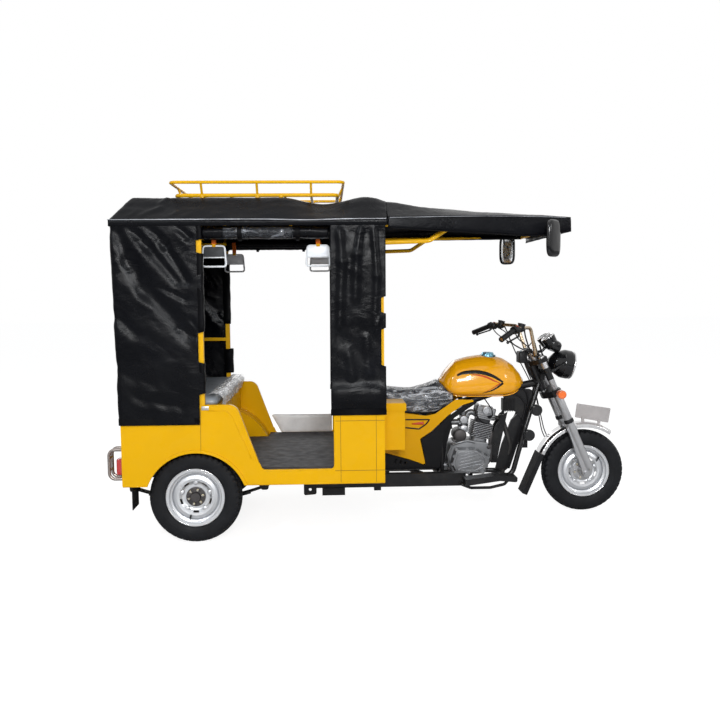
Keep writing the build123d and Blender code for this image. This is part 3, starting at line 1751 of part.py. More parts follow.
plate_outline = [(2383, 703), (2607, 667), (2592, 572), (2371, 611)]
with BuildPart() as number_plate:
    slab(side_plane(1), [(ahead(x), z) for x, z in plate_outline], [6, 6, 6, 6], -2)
    # two legs and a strap that stand the plate on the mudguard
    for x, high in ((2424, 612), (2530, 592)):
        beside = ahead(x - 8) - front_x
        low = axle_z + sqrt(guard_outer**2 - beside**2) + seat_gap
        block((ahead(x - 8), -8, low), (ahead(x + 8), 8, high))
finish(number_plate.part, "number_plate")

flap_length = 284.0
flap_gauge = 4.0
with BuildPart() as front_flap:
    # a rubber channel that carries straight on from the mudguard's rear end
    end_angle = radians(guard_start + guard_sweep)
    end_out = Vector(cos(end_angle), 0, sin(end_angle))
    end_along = Vector(-sin(end_angle), 0, cos(end_angle))
    with BuildSketch(
        Plane(origin=(front_x, 0, axle_z), x_dir=end_out, z_dir=end_along)
    ) as flap_section:
        with BuildLine():
            Polyline(
                (guard_skirt, -guard_half),
                (guard_outer, -guard_half),
                (guard_outer, guard_half),
                (guard_skirt, guard_half),
                (guard_skirt, guard_half - flap_gauge),
                (guard_outer - flap_gauge, guard_half - flap_gauge),
                (guard_outer - flap_gauge, -guard_half + flap_gauge),
                (guard_skirt, -guard_half + flap_gauge),
                close=True,
            )
        make_face()
    extrude(to_extrude=flap_section.sketch, amount=flap_length)
finish(front_flap.part, "front_flap")

cable_radius = 3.5
cable_y = front_hub_half + 13.0
cable_exit = switch_end + grip_down * 17.5
cable_routes = [  # points from the top down to the brake plate
    [
        cable_exit,
        cable_exit + grip_along * 25,
        (ahead(1975), 245, 1160),
        on_fork(-66, 124, 830),
        on_fork(-60, 106, 700),
        on_fork(-56, 98, 560),
        on_fork(-82, 84, 445),
        on_fork(-112, cable_y, 300),
        on_fork(-84, cable_y, 180),
        (front_x - 44, cable_y, lug_top + 40),
        (front_x - 44, cable_y, lug_top),
    ],
    [
        on_fork(64, 52, 900),
        on_fork(20, 60, 880),
        on_fork(-30, 82, 840),
        on_fork(-44, 112, 780),
        on_fork(-46, 112, 640),
        on_fork(-52, 108, 560),
        on_fork(-94, 84, 445),
        on_fork(-130, cable_y, 300),
        on_fork(-100, cable_y, 176),
        (front_x - 56, cable_y, lug_top + 30),
        (front_x - 56, cable_y, lug_top),
    ],
]
with BuildPart() as control_cables:
    for points in cable_routes:
        tube(points, cable_radius, easy_bends(points))
finish(control_cables.part, "control_cables")
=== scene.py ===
import math

import bmesh
import bpy
from mathutils import Matrix, Vector, noise
from mathutils.bvhtree import BVHTree


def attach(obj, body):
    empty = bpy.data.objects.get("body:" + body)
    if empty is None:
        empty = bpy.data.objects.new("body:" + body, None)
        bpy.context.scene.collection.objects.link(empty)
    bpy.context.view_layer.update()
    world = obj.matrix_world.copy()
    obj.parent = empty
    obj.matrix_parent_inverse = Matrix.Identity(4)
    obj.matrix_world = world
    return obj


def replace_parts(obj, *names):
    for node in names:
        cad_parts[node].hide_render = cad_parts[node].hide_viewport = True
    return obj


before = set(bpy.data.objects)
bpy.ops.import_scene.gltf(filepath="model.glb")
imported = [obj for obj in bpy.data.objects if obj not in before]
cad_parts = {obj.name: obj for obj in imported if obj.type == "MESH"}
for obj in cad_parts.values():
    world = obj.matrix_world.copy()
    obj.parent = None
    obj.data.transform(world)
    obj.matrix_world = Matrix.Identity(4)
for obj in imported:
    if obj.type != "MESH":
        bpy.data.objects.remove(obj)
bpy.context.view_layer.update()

scene = bpy.context.scene
scene.view_settings.view_transform = "Standard"

REAR_AXLE_X = -1.099
FRONT_AXLE_X = 1.321
AXLE_Z = 0.266
RAKE = math.radians(24.0)
CHASSIS, STEERING = "chassis", "steering"
SIDES = ((-1, "right"), (1, "left"))


def ax(ahead_mm):
    """X in metres of a place this many millimetres ahead of the rear axle."""
    return REAR_AXLE_X + ahead_mm / 1000.0


def at(ahead_mm, y_mm, z_mm):
    return Vector((ax(ahead_mm), y_mm / 1000.0, z_mm / 1000.0))


def on_fork(forward, y, up):
    """Point square to the fork, in millimetres: ahead of the axle, across, up along the legs."""
    return Vector((
        FRONT_AXLE_X + (forward * math.cos(RAKE) - up * math.sin(RAKE)) / 1000.0,
        y / 1000.0,
        AXLE_Z + (forward * math.sin(RAKE) + up * math.cos(RAKE)) / 1000.0,
    ))


# ------------------------------------------------------------------ camera
yaw, pitch, roll = math.radians(2.2807), math.radians(4.6887), -0.008125
forward = Vector((math.sin(yaw) * math.cos(pitch), math.cos(yaw) * math.cos(pitch), -math.sin(pitch)))
right = Vector((math.cos(yaw), -math.sin(yaw), 0.0))
upward = right.cross(forward)
cam_right = math.cos(roll) * right + math.sin(roll) * upward
cam_up = -math.sin(roll) * right + math.cos(roll) * upward
camera = bpy.data.objects.new("camera", bpy.data.cameras.new("camera"))
scene.collection.objects.link(camera)
turn = Matrix((cam_right, cam_up, -forward)).transposed().to_4x4()
camera.matrix_world = Matrix.Translation((-0.3283, -5.099, 1.41984)) @ turn
camera.data.lens = 39.964
camera.data.sensor_width = 36.0
camera.data.clip_end = 200.0
scene.camera = camera


# ------------------------------------------------------------------ materials
class Nodes:
    """Small helper round a material's node tree."""

    def __init__(self, name):
        self.material = bpy.data.materials.new(name)
        self.material.use_nodes = True
        self.tree = self.material.node_tree
        self.tree.nodes.clear()
        self.out = self.add("ShaderNodeOutputMaterial")
        self.shader = self.add("ShaderNodeBsdfPrincipled")
        self.link(self.shader.outputs[0], self.out.inputs["Surface"])
        self.coords = self.add("ShaderNodeTexCoord").outputs["Object"]

    def add(self, kind, **values):
        """Node with plain values: names of its inputs begin with a capital, the rest are its settings."""
        node = self.tree.nodes.new(kind)
        for key, value in values.items():
            if key[0].isupper():
                node.inputs[key.replace("_", " ")].default_value = value
            else:
                setattr(node, key, value)
        return node

    def link(self, a, b):
        self.tree.links.new(a, b)

    def mapped(self, stretch=(1, 1, 1), turn=(0, 0, 0)):
        node = self.add("ShaderNodeMapping", Scale=stretch, Rotation=turn)
        self.link(self.coords, node.inputs["Vector"])
        return node.outputs[0]

    def noise(self, scale, detail=3.0, rough=0.55, stretch=(1, 1, 1), turn=(0, 0, 0), distort=0.0):
        node = self.add("ShaderNodeTexNoise", Scale=scale, Detail=detail, Roughness=rough, Distortion=distort)
        self.link(self.mapped(stretch, turn), node.inputs["Vector"])
        return node.outputs[0]

    def wave(self, scale, turn=(0, 0, 0)):
        node = self.add("ShaderNodeTexWave", Scale=scale)
        self.link(self.mapped(turn=turn), node.inputs["Vector"])
        return node.outputs["Fac"]

    def ramp(self, fac, stops):
        node = self.add("ShaderNodeValToRGB")
        bar = node.color_ramp
        while len(bar.elements) < len(stops):
            bar.elements.new(0.5)
        for element, (place, colour) in zip(bar.elements, stops):
            element.position = place
            element.color = (*colour, 1.0)
        self.link(fac, node.inputs["Fac"])
        return node.outputs["Color"]

    def range(self, fac, low, high, from_low=0.3, from_high=0.7):
        node = self.add("ShaderNodeMapRange", From_Min=from_low, From_Max=from_high, To_Min=low, To_Max=high)
        self.link(fac, node.inputs["Value"])
        return node.outputs["Result"]

    def math(self, kind, a, b):
        node = self.add("ShaderNodeMath", operation=kind)
        self.link(a, node.inputs[0])
        if isinstance(b, float):
            node.inputs[1].default_value = b
        else:
            self.link(b, node.inputs[1])
        return node.outputs[0]

    def mix(self, fac, a, b):
        """Colour from socket a toward the plain colour b."""
        node = self.add("ShaderNodeMix", data_type="RGBA")
        self.link(fac, node.inputs[0])
        self.link(a, node.inputs[6])
        node.inputs[7].default_value = (*b, 1.0)
        return node.outputs[2]

    def bumps(self, *layers):
        """Each layer is (height, distance in metres, strength)."""
        normal = None
        for height, distance, strength in layers:
            node = self.add("ShaderNodeBump", Distance=distance, Strength=strength)
            self.link(height, node.inputs["Height"])
            if normal is not None:
                self.link(normal, node.inputs["Normal"])
            normal = node.outputs[0]
        self.link(normal, self.shader.inputs["Normal"])

    def colour(self, socket):
        self.link(socket, self.shader.inputs["Base Color"])

    def base(self, tone, stops, grain, rough, **how):
        """Colour between tones and roughness between two ends, each by its own noise."""
        self.colour(self.ramp(self.noise(*tone), stops))
        self.link(self.range(self.noise(*grain, **how), *rough), self.shader.inputs["Roughness"])

    def done(self, **values):
        """Set plain inputs of the shader by name and hand over the material."""
        for key, value in values.items():
            self.shader.inputs[key.replace("_", " ")].default_value = value
        return self.material


def shade(colour, factor):
    return tuple(min(1.0, c * factor) for c in colour[:3])


def tones(colour, low, high):
    """Ramp stops from a darker to a lighter shade of a colour."""
    return [(0.3, shade(colour, low)), (0.7, shade(colour, high))]


def paint(name, colour, rough, coat, vary, dust=0.0, level=0.3):
    m = Nodes(name)
    m.base((3.2, 3.0), tones(colour, 1 - vary, 1 + vary), (9.0, 4.0), (rough - 0.04, rough + 0.07))
    if dust:
        plain = m.shader.inputs["Base Color"].links[0].from_socket
        fine = m.ramp(m.noise(14.0, 5.0, 0.7), [(0.50, (0, 0, 0)), (0.78, (1, 1, 1))])
        m.colour(m.mix(m.math("MULTIPLY", fine, dust), plain, (0.42, 0.38, 0.30)))
    m.bumps((m.noise(5.0, 2.0), 0.004, 0.05), (m.noise(420.0, 2.0), 0.0004, 0.05))
    return m.done(Specular_IOR_Level=level, Coat_Weight=coat, Coat_Roughness=0.06)


def metal(name, colour, rough, vary, brushed=(1, 1, 1), grain=220.0, grain_bump=0.10, metallic=1.0):
    m = Nodes(name)
    m.base((7.0, 4.0), tones(colour, 1 - vary, 1 + vary), (grain * 0.3, 4.0), (rough - 0.06, rough + 0.10),
           stretch=brushed)
    m.bumps((m.noise(grain, 3.0, stretch=brushed), 0.0006, grain_bump), (m.noise(12.0, 2.0), 0.002, 0.06))
    return m.done(Metallic=metallic)


def plastic(name, colour, rough, vary=0.12, grain=900.0, coat=0.0, level=0.35):
    m = Nodes(name)
    m.base((8.0, 4.0), tones(colour, 1 - vary, 1 + vary), (26.0, 4.0), (rough - 0.06, rough + 0.10))
    m.bumps((m.noise(grain, 2.0), 0.0003, 0.18))
    return m.done(Specular_IOR_Level=level, Coat_Weight=coat, Coat_Roughness=0.08)


def canvas(name, colour, rough, folds, level=0.26):
    """Coated canvas: fine weave under a soft shine, shallow creases, a little dust on the raised parts."""
    m = Nodes(name)
    m.base((4.0, 5.0, 0.65), [(0.42, shade(colour, 0.8)), (0.62, colour), (0.88, shade(colour, 2.2))],
           (6.0, 4.0), (rough - 0.07, rough + 0.12))
    warp, weft = m.wave(260.0), m.wave(260.0, turn=(0, math.radians(90), 0))
    m.bumps(
        (m.noise(4.2, 4.0, 0.55, stretch=(1.0, 1.0, 1.7), distort=0.9), 0.016, folds),
        (m.noise(26.0, 3.0, 0.6), 0.0022, 0.35),
        (m.math("MULTIPLY", warp, weft), 0.0003, 0.25),
    )
    return m.done(IOR=1.22, Specular_IOR_Level=level)


def vinyl(name, colour, rough, coat):
    m = Nodes(name)
    m.base((9.0, 4.0), tones(colour, 0.85, 1.15), (18.0, 4.0), (rough - 0.08, rough + 0.12))
    cells = m.add("ShaderNodeTexVoronoi", Scale=420.0)
    m.link(m.coords, cells.inputs["Vector"])
    m.bumps((m.noise(16.0, 4.0), 0.003, 0.25), (cells.outputs["Distance"], 0.0005, 0.3))
    return m.done(Specular_IOR_Level=0.35, Coat_Weight=coat, Coat_Roughness=0.12)


def film(name, tint, rough, crinkle, low, high, scale, stretch, share):
    """Thin clear film: nearly unseen where it lies flat, with painted highlights: partly opaque white streaks where a
    noise is high.
    """
    m = Nodes(name)
    m.base((scale, 3.0), tones(tint, 0.85, 1), (scale * 0.6, 3.0), (rough, rough + 0.12))
    m.bumps(
        (m.noise(scale, 5.0, 0.7, stretch, distort=1.4), 0.006, crinkle),
        (m.noise(scale * 4, 3.0, 0.6, stretch, distort=0.8), 0.002, crinkle * 0.6),
    )
    # painted highlight: where this noise is high the film turns opaque white, standing in for glints on the creases
    fold = m.noise(scale * 0.8, 5.0, 0.72, stretch, distort=1.8)
    m.link(m.range(fold, low, high, *share), m.shader.inputs["Alpha"])
    return m.done(Coat_Weight=0.4, Coat_Roughness=0.05)


def rubber(name, colour, rough=0.72, grain=320.0):
    m = Nodes(name)
    m.base((11.0, 5.0, 0.6), [(0.35, shade(colour, 0.8)), (0.75, shade(colour, 1.5))],
           (20.0, 4.0), (rough - 0.08, rough + 0.12))
    m.bumps((m.noise(grain, 3.0), 0.0006, 0.3), (m.noise(24.0, 3.0), 0.0015, 0.2))
    return m.done(IOR=1.3, Specular_IOR_Level=0.4)


def lens(name, colour, rough, ridges):
    m = Nodes(name)
    m.base((30.0, 2.0), tones(colour, 0.9, 1), (30.0, 3.0), (rough - 0.03, rough + 0.08))
    m.bumps((m.wave(ridges, turn=(0, 0, math.radians(90))), 0.0012, 0.5))
    return m.done(Coat_Weight=0.9, Coat_Roughness=0.03)


def glass(name):
    m = Nodes(name)
    m.base((6.0, 2.0), tones((0.96, 0.98, 1.0), 0.97, 1), (40.0, 3.0), (0.03, 0.08))
    m.bumps((m.noise(18.0, 2.0), 0.0008, 0.15))
    return m.done(Transmission_Weight=0.92, IOR=1.45)


YELLOW = (0.735, 0.392, 0.0025)
M = {
    "body": paint("body_paint", YELLOW, 0.28, 0.04, 0.03, dust=0.015, level=0.08),
    "tank": paint("tank_paint", (0.82, 0.36, 0.004), 0.13, 0.6, 0.04),
    "cover": paint("cover_paint", (0.66, 0.33, 0.0022), 0.28, 0.05, 0.03, level=0.08),
    "cover_black": plastic("cover_black", (0.004, 0.004, 0.005), 0.34, level=0.14),
    "frame_yellow": paint("roof_frame_paint", (0.76, 0.41, 0.005), 0.30, 0.06, 0.05, level=0.14),
    "black_paint": paint("black_frame_paint", (0.006, 0.006, 0.007), 0.34, 0.15, 0.3, dust=0.03, level=0.2),
    "gloss_black": plastic("gloss_black_plastic", (0.005, 0.005, 0.006), 0.14, 0.2, 300.0, 0.4, 0.2),
    "canvas": canvas("coated_canvas", (0.0026, 0.0029, 0.0044), 0.26, 0.40, 0.42),
    "canvas_soft": canvas("coated_canvas_curtain", (0.0018, 0.0021, 0.0034), 0.24, 0.34, 0.45),
    "hem": canvas("canvas_hem", (0.0026, 0.0026, 0.0034), 0.50, 0.15, 0.30),
    "piping": plastic("pale_piping", (0.42, 0.43, 0.46), 0.4, 0.5),
    # chrome given a darker brownish base colour: painted brownish reflection
    "guard": metal("tail_guard_plate", (0.30, 0.26, 0.24), 0.30, 0.2),
    "clear_card": plastic("clear_card", (0.86, 0.88, 0.92), 0.3, 0.05, level=0.5),
    "silver": metal("silver_paint_rim", (0.60, 0.61, 0.63), 0.34, 0.06, grain_bump=0.05, metallic=0.75),
    "fork_silver": metal("silver_fork", (0.40, 0.40, 0.41), 0.32, 0.08, (1, 1, 0.2), metallic=0.8),
    "chrome": metal("bright_chrome", (0.66, 0.655, 0.66), 0.10, 0.08, grain_bump=0.02),
    "steel": metal("worn_steel", (0.50, 0.49, 0.47), 0.34, 0.18),
    # chrome given a brownish base colour: painted brownish reflection
    "chrome_warm_reflection": metal("chrome_painted_warm_reflection", (0.50, 0.40, 0.28), 0.24, 0.15),
    "zinc": metal("yellow_zinc", (0.62, 0.55, 0.38), 0.36, 0.2),
    "alloy": metal("cast_alloy", (0.21, 0.214, 0.222), 0.42, 0.30, grain=120.0, grain_bump=0.4, metallic=0.9),
    "alloy_light": metal("machined_alloy", (0.42, 0.425, 0.44), 0.30, 0.2, grain=160.0, metallic=0.9),
    "iron": metal("dark_cast_iron", (0.035, 0.035, 0.038), 0.5, 0.4, grain=140.0, grain_bump=0.3, metallic=0.4),
    "drum": metal("hub_iron", (0.06, 0.055, 0.055), 0.5, 0.3, grain=140.0, metallic=0.6),
    "exhaust": metal("exhaust_steel", (0.035, 0.033, 0.032), 0.42, 0.3, metallic=0.6),
    "black_plastic": plastic("black_plastic", (0.007, 0.007, 0.008), 0.44, level=0.25),
    # dark grey for one clear card: painted shade
    "card_painted_shade": plastic("card_in_painted_shade", (0.035, 0.037, 0.040), 0.6),
    "white_plastic": plastic("white_plastic", (0.74, 0.76, 0.78), 0.35, 0.04),
    "rubber": rubber("black_rubber", (0.009, 0.009, 0.010)),
    "tyre": rubber("tyre_rubber", (0.0070, 0.0074, 0.0088), 0.58),
    "mat": rubber("floor_mat_rubber", (0.048, 0.048, 0.052), 0.66, 60.0),
    "cable": plastic("black_cable", (0.006, 0.006, 0.007), 0.4, level=0.2),
    "seat_vinyl": vinyl("black_vinyl", (0.007, 0.008, 0.012), 0.40, 0.10),
    "bench_vinyl": vinyl("blue_grey_vinyl", (0.27, 0.30, 0.335), 0.34, 0.3),
    "back_vinyl": vinyl("dark_back_vinyl", (0.014, 0.015, 0.020), 0.45, 0.1),
    "board": vinyl("white_padded_cover", (0.90, 0.90, 0.91), 0.5, 0.1),
    # the films' white streaks are painted highlights
    "film_white_glints": film("crinkled_film", (0.93, 0.94, 0.96), 0.16, 1.0, 0.12, 0.95, 34.0, (1, 1, 1), (0.38, 0.60)),
    "film_saddle": film("saddle_film", (0.84, 0.87, 0.92), 0.14, 0.8, 0.03, 0.72, 14.0, (0.7, 1, 2.4), (0.49, 0.70)),
    "film_roll": film("rolled_film", (0.80, 0.84, 0.92), 0.10, 1.0, 0.03, 0.62, 9.0, (1.3, 1, 3.0), (0.56, 0.82)),
    "orange": lens("orange_lens", (0.95, 0.17, 0.012), 0.2, 260.0),
    "red": lens("red_lens", (0.50, 0.010, 0.008), 0.14, 200.0),
    "clear": glass("clear_lens"),
    "reflector": metal("lamp_reflector", (0.75, 0.76, 0.78), 0.10, 0.05),
    "mirror": metal("mirror_glass", (0.86, 0.88, 0.90), 0.26, 0.02, grain_bump=0.0),
    "strap": canvas("orange_webbing", (0.62, 0.13, 0.02), 0.6, 0.2),
    "strap_end": canvas("yellow_webbing", (0.74, 0.36, 0.01), 0.6, 0.2),
    "stripe_black": plastic("black_stripe", (0.005, 0.004, 0.004), 0.25, 0.2, 300.0, 0.15, 0.15),
    "stripe_red": plastic("red_stripe", (0.50, 0.050, 0.008), 0.25, 0.15, 300.0, 0.2, 0.2),
    # dim yellow strips: painted shade in the panel seams
    "seam": plastic("seam_painted_shade", (0.20, 0.10, 0.006), 0.6),
    "plate": metal("blank_plate", (0.43, 0.405, 0.40), 0.36, 0.10, (1, 1, 6), metallic=0.5),
    "dial": plastic("dial_face", (0.03, 0.03, 0.035), 0.4),
    "blue_cap": metal("filler_cap_film", (0.20, 0.42, 0.52), 0.20, 0.3, metallic=0.8),
}


def wear(node, *materials):
    """Give a shown CAD node these materials."""
    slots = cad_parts[node].data.materials
    slots.clear()
    for name in materials:
        slots.append(M[name])


# ------------------------------------------------------------------ mesh helpers
def angles(count):
    """Angles of a full turn in equal steps."""
    return [2 * math.pi * k / count for k in range(count)]


def signed_power(value, power):
    """Power that keeps the sign, for rounded-box sections."""
    return math.copysign(abs(value) ** power, value)


def rounded(count, across, up, down=None):
    """Points (c, s) round a box-like oval; small powers make it squarer, and its lower half may differ."""
    down = up if down is None else down
    ring = [(math.cos(t), math.sin(t)) for t in angles(count)]
    return [(signed_power(c, across), signed_power(s, up if s > 0 else down)) for c, s in ring]


def middle_of(points):
    return sum((Vector(p) for p in points), Vector()) / len(points)


def axes_at(centre, axis):
    """Centre, unit axis and two directions square to it."""
    axis = Vector(axis).normalized()
    a = axis.orthogonal().normalized()
    return Vector(centre), axis, a, axis.cross(a)


def shade_smooth(mesh):
    mesh.polygons.foreach_set("use_smooth", [True] * len(mesh.polygons))


def make(name, vertices, faces, material):
    mesh = bpy.data.meshes.new(name)
    mesh.from_pydata([tuple(v) for v in vertices], [], faces)
    mesh.validate()
    mesh.update()
    obj = bpy.data.objects.new(name, mesh)
    scene.collection.objects.link(obj)
    if material:
        mesh.materials.append(M[material])
    return obj


def apply_modifiers(obj):
    """Replace the mesh by what its modifiers make of it."""
    graph = bpy.context.evaluated_depsgraph_get()
    graph.update()
    done = bpy.data.meshes.new_from_object(obj.evaluated_get(graph))
    done.name = obj.name
    obj.modifiers.clear()
    obj.data = done


class Shape:
    """Collects vertices and faces of one piece."""

    def __init__(self):
        self.v, self.f = [], []

    def add(self, vertices, faces):
        base = len(self.v)
        self.v += [Vector(p) for p in vertices]
        self.f += [tuple(base + i for i in face) for face in faces]

    def tube(self, points, radius, sides, closed=False):
        """Round tube through the points; radius may be a list."""
        points = [Vector(p) for p in points]
        count = len(points)
        radii = radius if isinstance(radius, (list, tuple)) else [radius] * count
        frames = []
        side = None
        for i, p in enumerate(points):
            before = points[i - 1] if (i or closed) else points[0]
            after = points[(i + 1) % count] if (i < count - 1 or closed) else points[-1]
            along = (after - before).normalized()
            if side is None:
                side = along.orthogonal().normalized()
            side = (side - along * side.dot(along)).normalized()
            frames.append((p, side, along.cross(side)))
        vertices, faces = [], []
        for (p, a, b), r in zip(frames, radii):
            vertices += [p + a * (r * math.cos(t)) + b * (r * math.sin(t)) for t in angles(sides)]
        rings = count if closed else count - 1
        for i in range(rings):
            j = (i + 1) % count
            for k in range(sides):
                m = (k + 1) % sides
                faces.append((i * sides + k, i * sides + m, j * sides + m, j * sides + k))
        if not closed:
            faces.append(tuple(range(sides - 1, -1, -1)))
            faces.append(tuple((count - 1) * sides + k for k in range(sides)))
        self.add(vertices, faces)

    def hose(self, points, radius, per=8, sides=10):
        """Tube along a smooth line through the points."""
        self.tube(curve_points(points, per), radius, sides)

    def lathe(self, centre, axis, profile, sides):
        """Profile of (radius, distance along the axis) turned about it."""
        centre, axis, a, b = axes_at(centre, axis)
        vertices, faces = [], []
        for t in angles(sides):
            d = a * math.cos(t) + b * math.sin(t)
            vertices += [centre + d * r + axis * h for r, h in profile]
        n = len(profile)
        for k in range(sides):
            m = (k + 1) % sides
            faces += [(k * n + i, m * n + i, m * n + i + 1, k * n + i + 1) for i in range(n - 1)]
        self.add(vertices, faces)

    def prism(self, centre, axis, radius, height, sides=6):
        """Bolt head: a prism with an eased top."""
        profile = [(radius, 0.0), (radius, height * 0.75), (radius * 0.88, height), (0.0001, height)]
        self.lathe(centre, axis, profile, sides)

    def box(self, low, high):
        x0, y0, z0 = low
        x1, y1, z1 = high
        corners = [(x, y, z) for x in (x0, x1) for y in (y0, y1) for z in (z0, z1)]
        faces = [(0, 1, 3, 2), (4, 6, 7, 5), (0, 4, 5, 1), (2, 3, 7, 6), (0, 2, 6, 4), (1, 5, 7, 3)]
        self.add(corners, faces)

    def grid(self, rows, close_rows=False, close_cols=False):
        n, m = len(rows), len(rows[0])
        vertices = [p for row in rows for p in row]
        faces = []
        for i in range(n if close_rows else n - 1):
            for j in range(m if close_cols else m - 1):
                a, b = i * m + j, i * m + (j + 1) % m
                c, d = ((i + 1) % n) * m + (j + 1) % m, ((i + 1) % n) * m + j
                faces.append((a, b, c, d))
        self.add(vertices, faces)

    def plate(self, outline, y_low, y_high):
        """Flat plate between two planes across the vehicle; the outline is (ahead, z) in millimetres."""
        faces = [[at(x, y, z) for x, z in outline] for y in (y_low, y_high)]
        self.grid(faces, close_cols=True)
        for face in faces:
            middle = middle_of(face)
            self.grid([face, [middle] * len(face)], close_cols=True)

    def close_ends(self, rings, share):
        """Lid over the first and the last ring, with one ring between it and the centre."""
        for ring in (rings[0], rings[-1]):
            middle = middle_of(ring)
            inner = [middle.lerp(Vector(p), share) for p in ring]
            self.grid([ring, inner, [middle] * len(ring)], close_cols=True)

    def out(self, name, material, body, sharp=None, bevel=0.0):
        """Make the piece, with doubled points joined and faces turned outward."""
        obj = make(name, self.v, self.f, material)
        bm = bmesh.new()
        bm.from_mesh(obj.data)
        bmesh.ops.remove_doubles(bm, verts=bm.verts, dist=1e-6)
        bmesh.ops.recalc_face_normals(bm, faces=bm.faces)
        bm.to_mesh(obj.data)
        bm.free()
        if bevel:
            mod = obj.modifiers.new("bevel", "BEVEL")
            mod.width, mod.segments, mod.limit_method = bevel, 2, "ANGLE"
            mod.angle_limit = math.radians(35)
            apply_modifiers(obj)
        shade_smooth(obj.data)
        if sharp is not None:
            obj.data.set_sharp_from_angle(angle=math.radians(sharp))
        if body:
            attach(obj, body)
        return obj

    def show(self, name, material, slot, body=CHASSIS, **edges):
        """Make the piece; the slot argument is not used."""
        obj = self.out(name, material, body, **edges)
        return obj


def catmull(p0, p1, p2, p3, t):
    """Catmull-Rom curve from p1 to p2."""
    return 0.5 * (2 * p1 + (p2 - p0) * t + (2 * p0 - 5 * p1 + 4 * p2 - p3) * t * t
                  + (3 * p1 - p0 - 3 * p2 + p3) * t ** 3)


def curve_points(points, per):
    """Smooth line through the points."""
    pts = [Vector(p) for p in points]
    last = len(pts) - 1
    result = []
    for i in range(last):
        ends = pts[max(i - 1, 0)], pts[i], pts[i + 1], pts[min(i + 2, last)]
        result += [catmull(*ends, k / per) for k in range(per)]
    return result + [pts[-1]]


def round_corners(points, radius, steps, closed=False):
    """Polyline with each corner turned into a short arc."""
    pts = [Vector(p) for p in points]
    n = len(pts)
    result = []
    for i, p in enumerate(pts):
        if not closed and i in (0, n - 1):
            result.append(p)
            continue
        a, b = pts[i - 1] - p, pts[(i + 1) % n] - p
        reach = min(radius, 0.45 * a.length, 0.45 * b.length)
        start, end = p + a.normalized() * reach, p + b.normalized() * reach
        for k in range(steps + 1):
            t = k / steps
            result.append((1 - t) ** 2 * start + 2 * t * (1 - t) * p + t * t * end)
    return result


def flat_corners(points, radius, steps):
    """The same for a line of pairs."""
    return [(p.x, p.y) for p in round_corners([(x, y, 0) for x, y in points], radius, steps)]


def resample(points, count):
    """Line with this many points at even distances."""
    pts = [Vector(p) for p in points]
    lengths = [0.0]
    for a, b in zip(pts, pts[1:]):
        lengths.append(lengths[-1] + (b - a).length)
    result, j = [], 0
    for i in range(count):
        want = lengths[-1] * i / (count - 1)
        while j < len(pts) - 2 and lengths[j + 1] < want:
            j += 1
        span = lengths[j + 1] - lengths[j]
        t = (want - lengths[j]) / span if span else 0.0
        result.append(pts[j].lerp(pts[j + 1], t))
    return result


def wrinkle(x, y, z, scale, seed=0.0):
    return noise.noise(Vector((x * scale + seed, y * scale - seed, z * scale + 2 * seed)))


def tree_of(obj):
    return BVHTree.FromPolygons([v.co for v in obj.data.vertices], [p.vertices for p in obj.data.polygons])


def thicken(obj, thickness, offset):
    mod = obj.modifiers.new("thick", "SOLIDIFY")
    mod.thickness, mod.offset = thickness, offset
    apply_modifiers(obj)


def thick_piece(shape, name, material, thickness, offset=0.0):
    """Piece of cloth with a thickness."""
    obj = shape.out(name, material, None)
    thicken(obj, thickness, offset)
    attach(obj, CHASSIS)
    return obj


def cloth_from(name, material, rows, thickness, offset=0.0):
    """Sheet of cloth or film from rows of points."""
    shape = Shape()
    shape.grid(rows)
    return thick_piece(shape, name, material, thickness, offset)


# ------------------------------------------------------------------ tyres with their tread
SHOULDER = 236  # radius in millimetres where the tread begins


def tyre(node, body, x, y):
    """Tyre with a beaded wall and block tread: each ring of points is one step round the wheel."""
    pitches, per = 44, 8
    steps = pitches * per
    section = [(157 + 12 * k / 4, -37 - 2 * k / 4) for k in range(5)] + [(173, -46)]
    wall = curve_points([(173, -46, 0), (192, -53.4, 0), (215, -56, 0), (SHOULDER, -54.0, 0), (252, -48, 0)], 6)
    section += [(p.x, p.y) for p in wall[1:]]
    crown = curve_points([(252, -48, 0), (259.5, -32, 0), (264.3, -16, 0), (265.8, 0, 0)], 9)
    section += [(p.x, p.y) for p in crown[1:]]
    section += [(r, -w) for r, w in reversed(section[:-1])]
    rows = []
    for s in range(steps):
        turn = 2 * math.pi * s / steps
        phase = (s / per) % 1.0
        row = []
        for r, w in section:
            cut = 0.0
            side = abs(w)
            if r > SHOULDER:
                skew = (phase + (0.012 * side if w > 0 else -0.012 * side)) % 1.0
                if side > 27:
                    cut = 6.0 if ((phase + (0.5 if w > 0 else 0.0)) % 1.0) < 0.34 else 0.0
                    if r < SHOULDER + 8:
                        cut *= (r - SHOULDER) / 8
                elif side > 23:
                    cut = 6.0
                elif side > 5:
                    cut = 5.0 if skew < 0.26 else 0.0
                else:
                    cut = 5.0 if side < 2 else 0.0
            elif 186 < r < 190 or 203 < r < 206:
                cut = -0.8
            radius = (r - (cut if r > SHOULDER else 0)) / 1000.0
            wide = (w + (0 if r > SHOULDER else cut if w < 0 else -cut)) / 1000.0
            row.append((x + radius * math.sin(turn), y + wide, AXLE_Z + radius * math.cos(turn)))
        rows.append(row)
    shape = Shape()
    shape.grid(rows, close_rows=True, close_cols=True)
    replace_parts(shape.show(node + "_tread", "tyre", "tyre_black", body, sharp=32), node)


def on_wheel(centre, axis, t, radius, out):
    """Point beside a wheel: at an angle, this far from the axle and this far outboard."""
    return centre + Vector((math.cos(t) * radius, 0, math.sin(t) * radius)) + axis * out


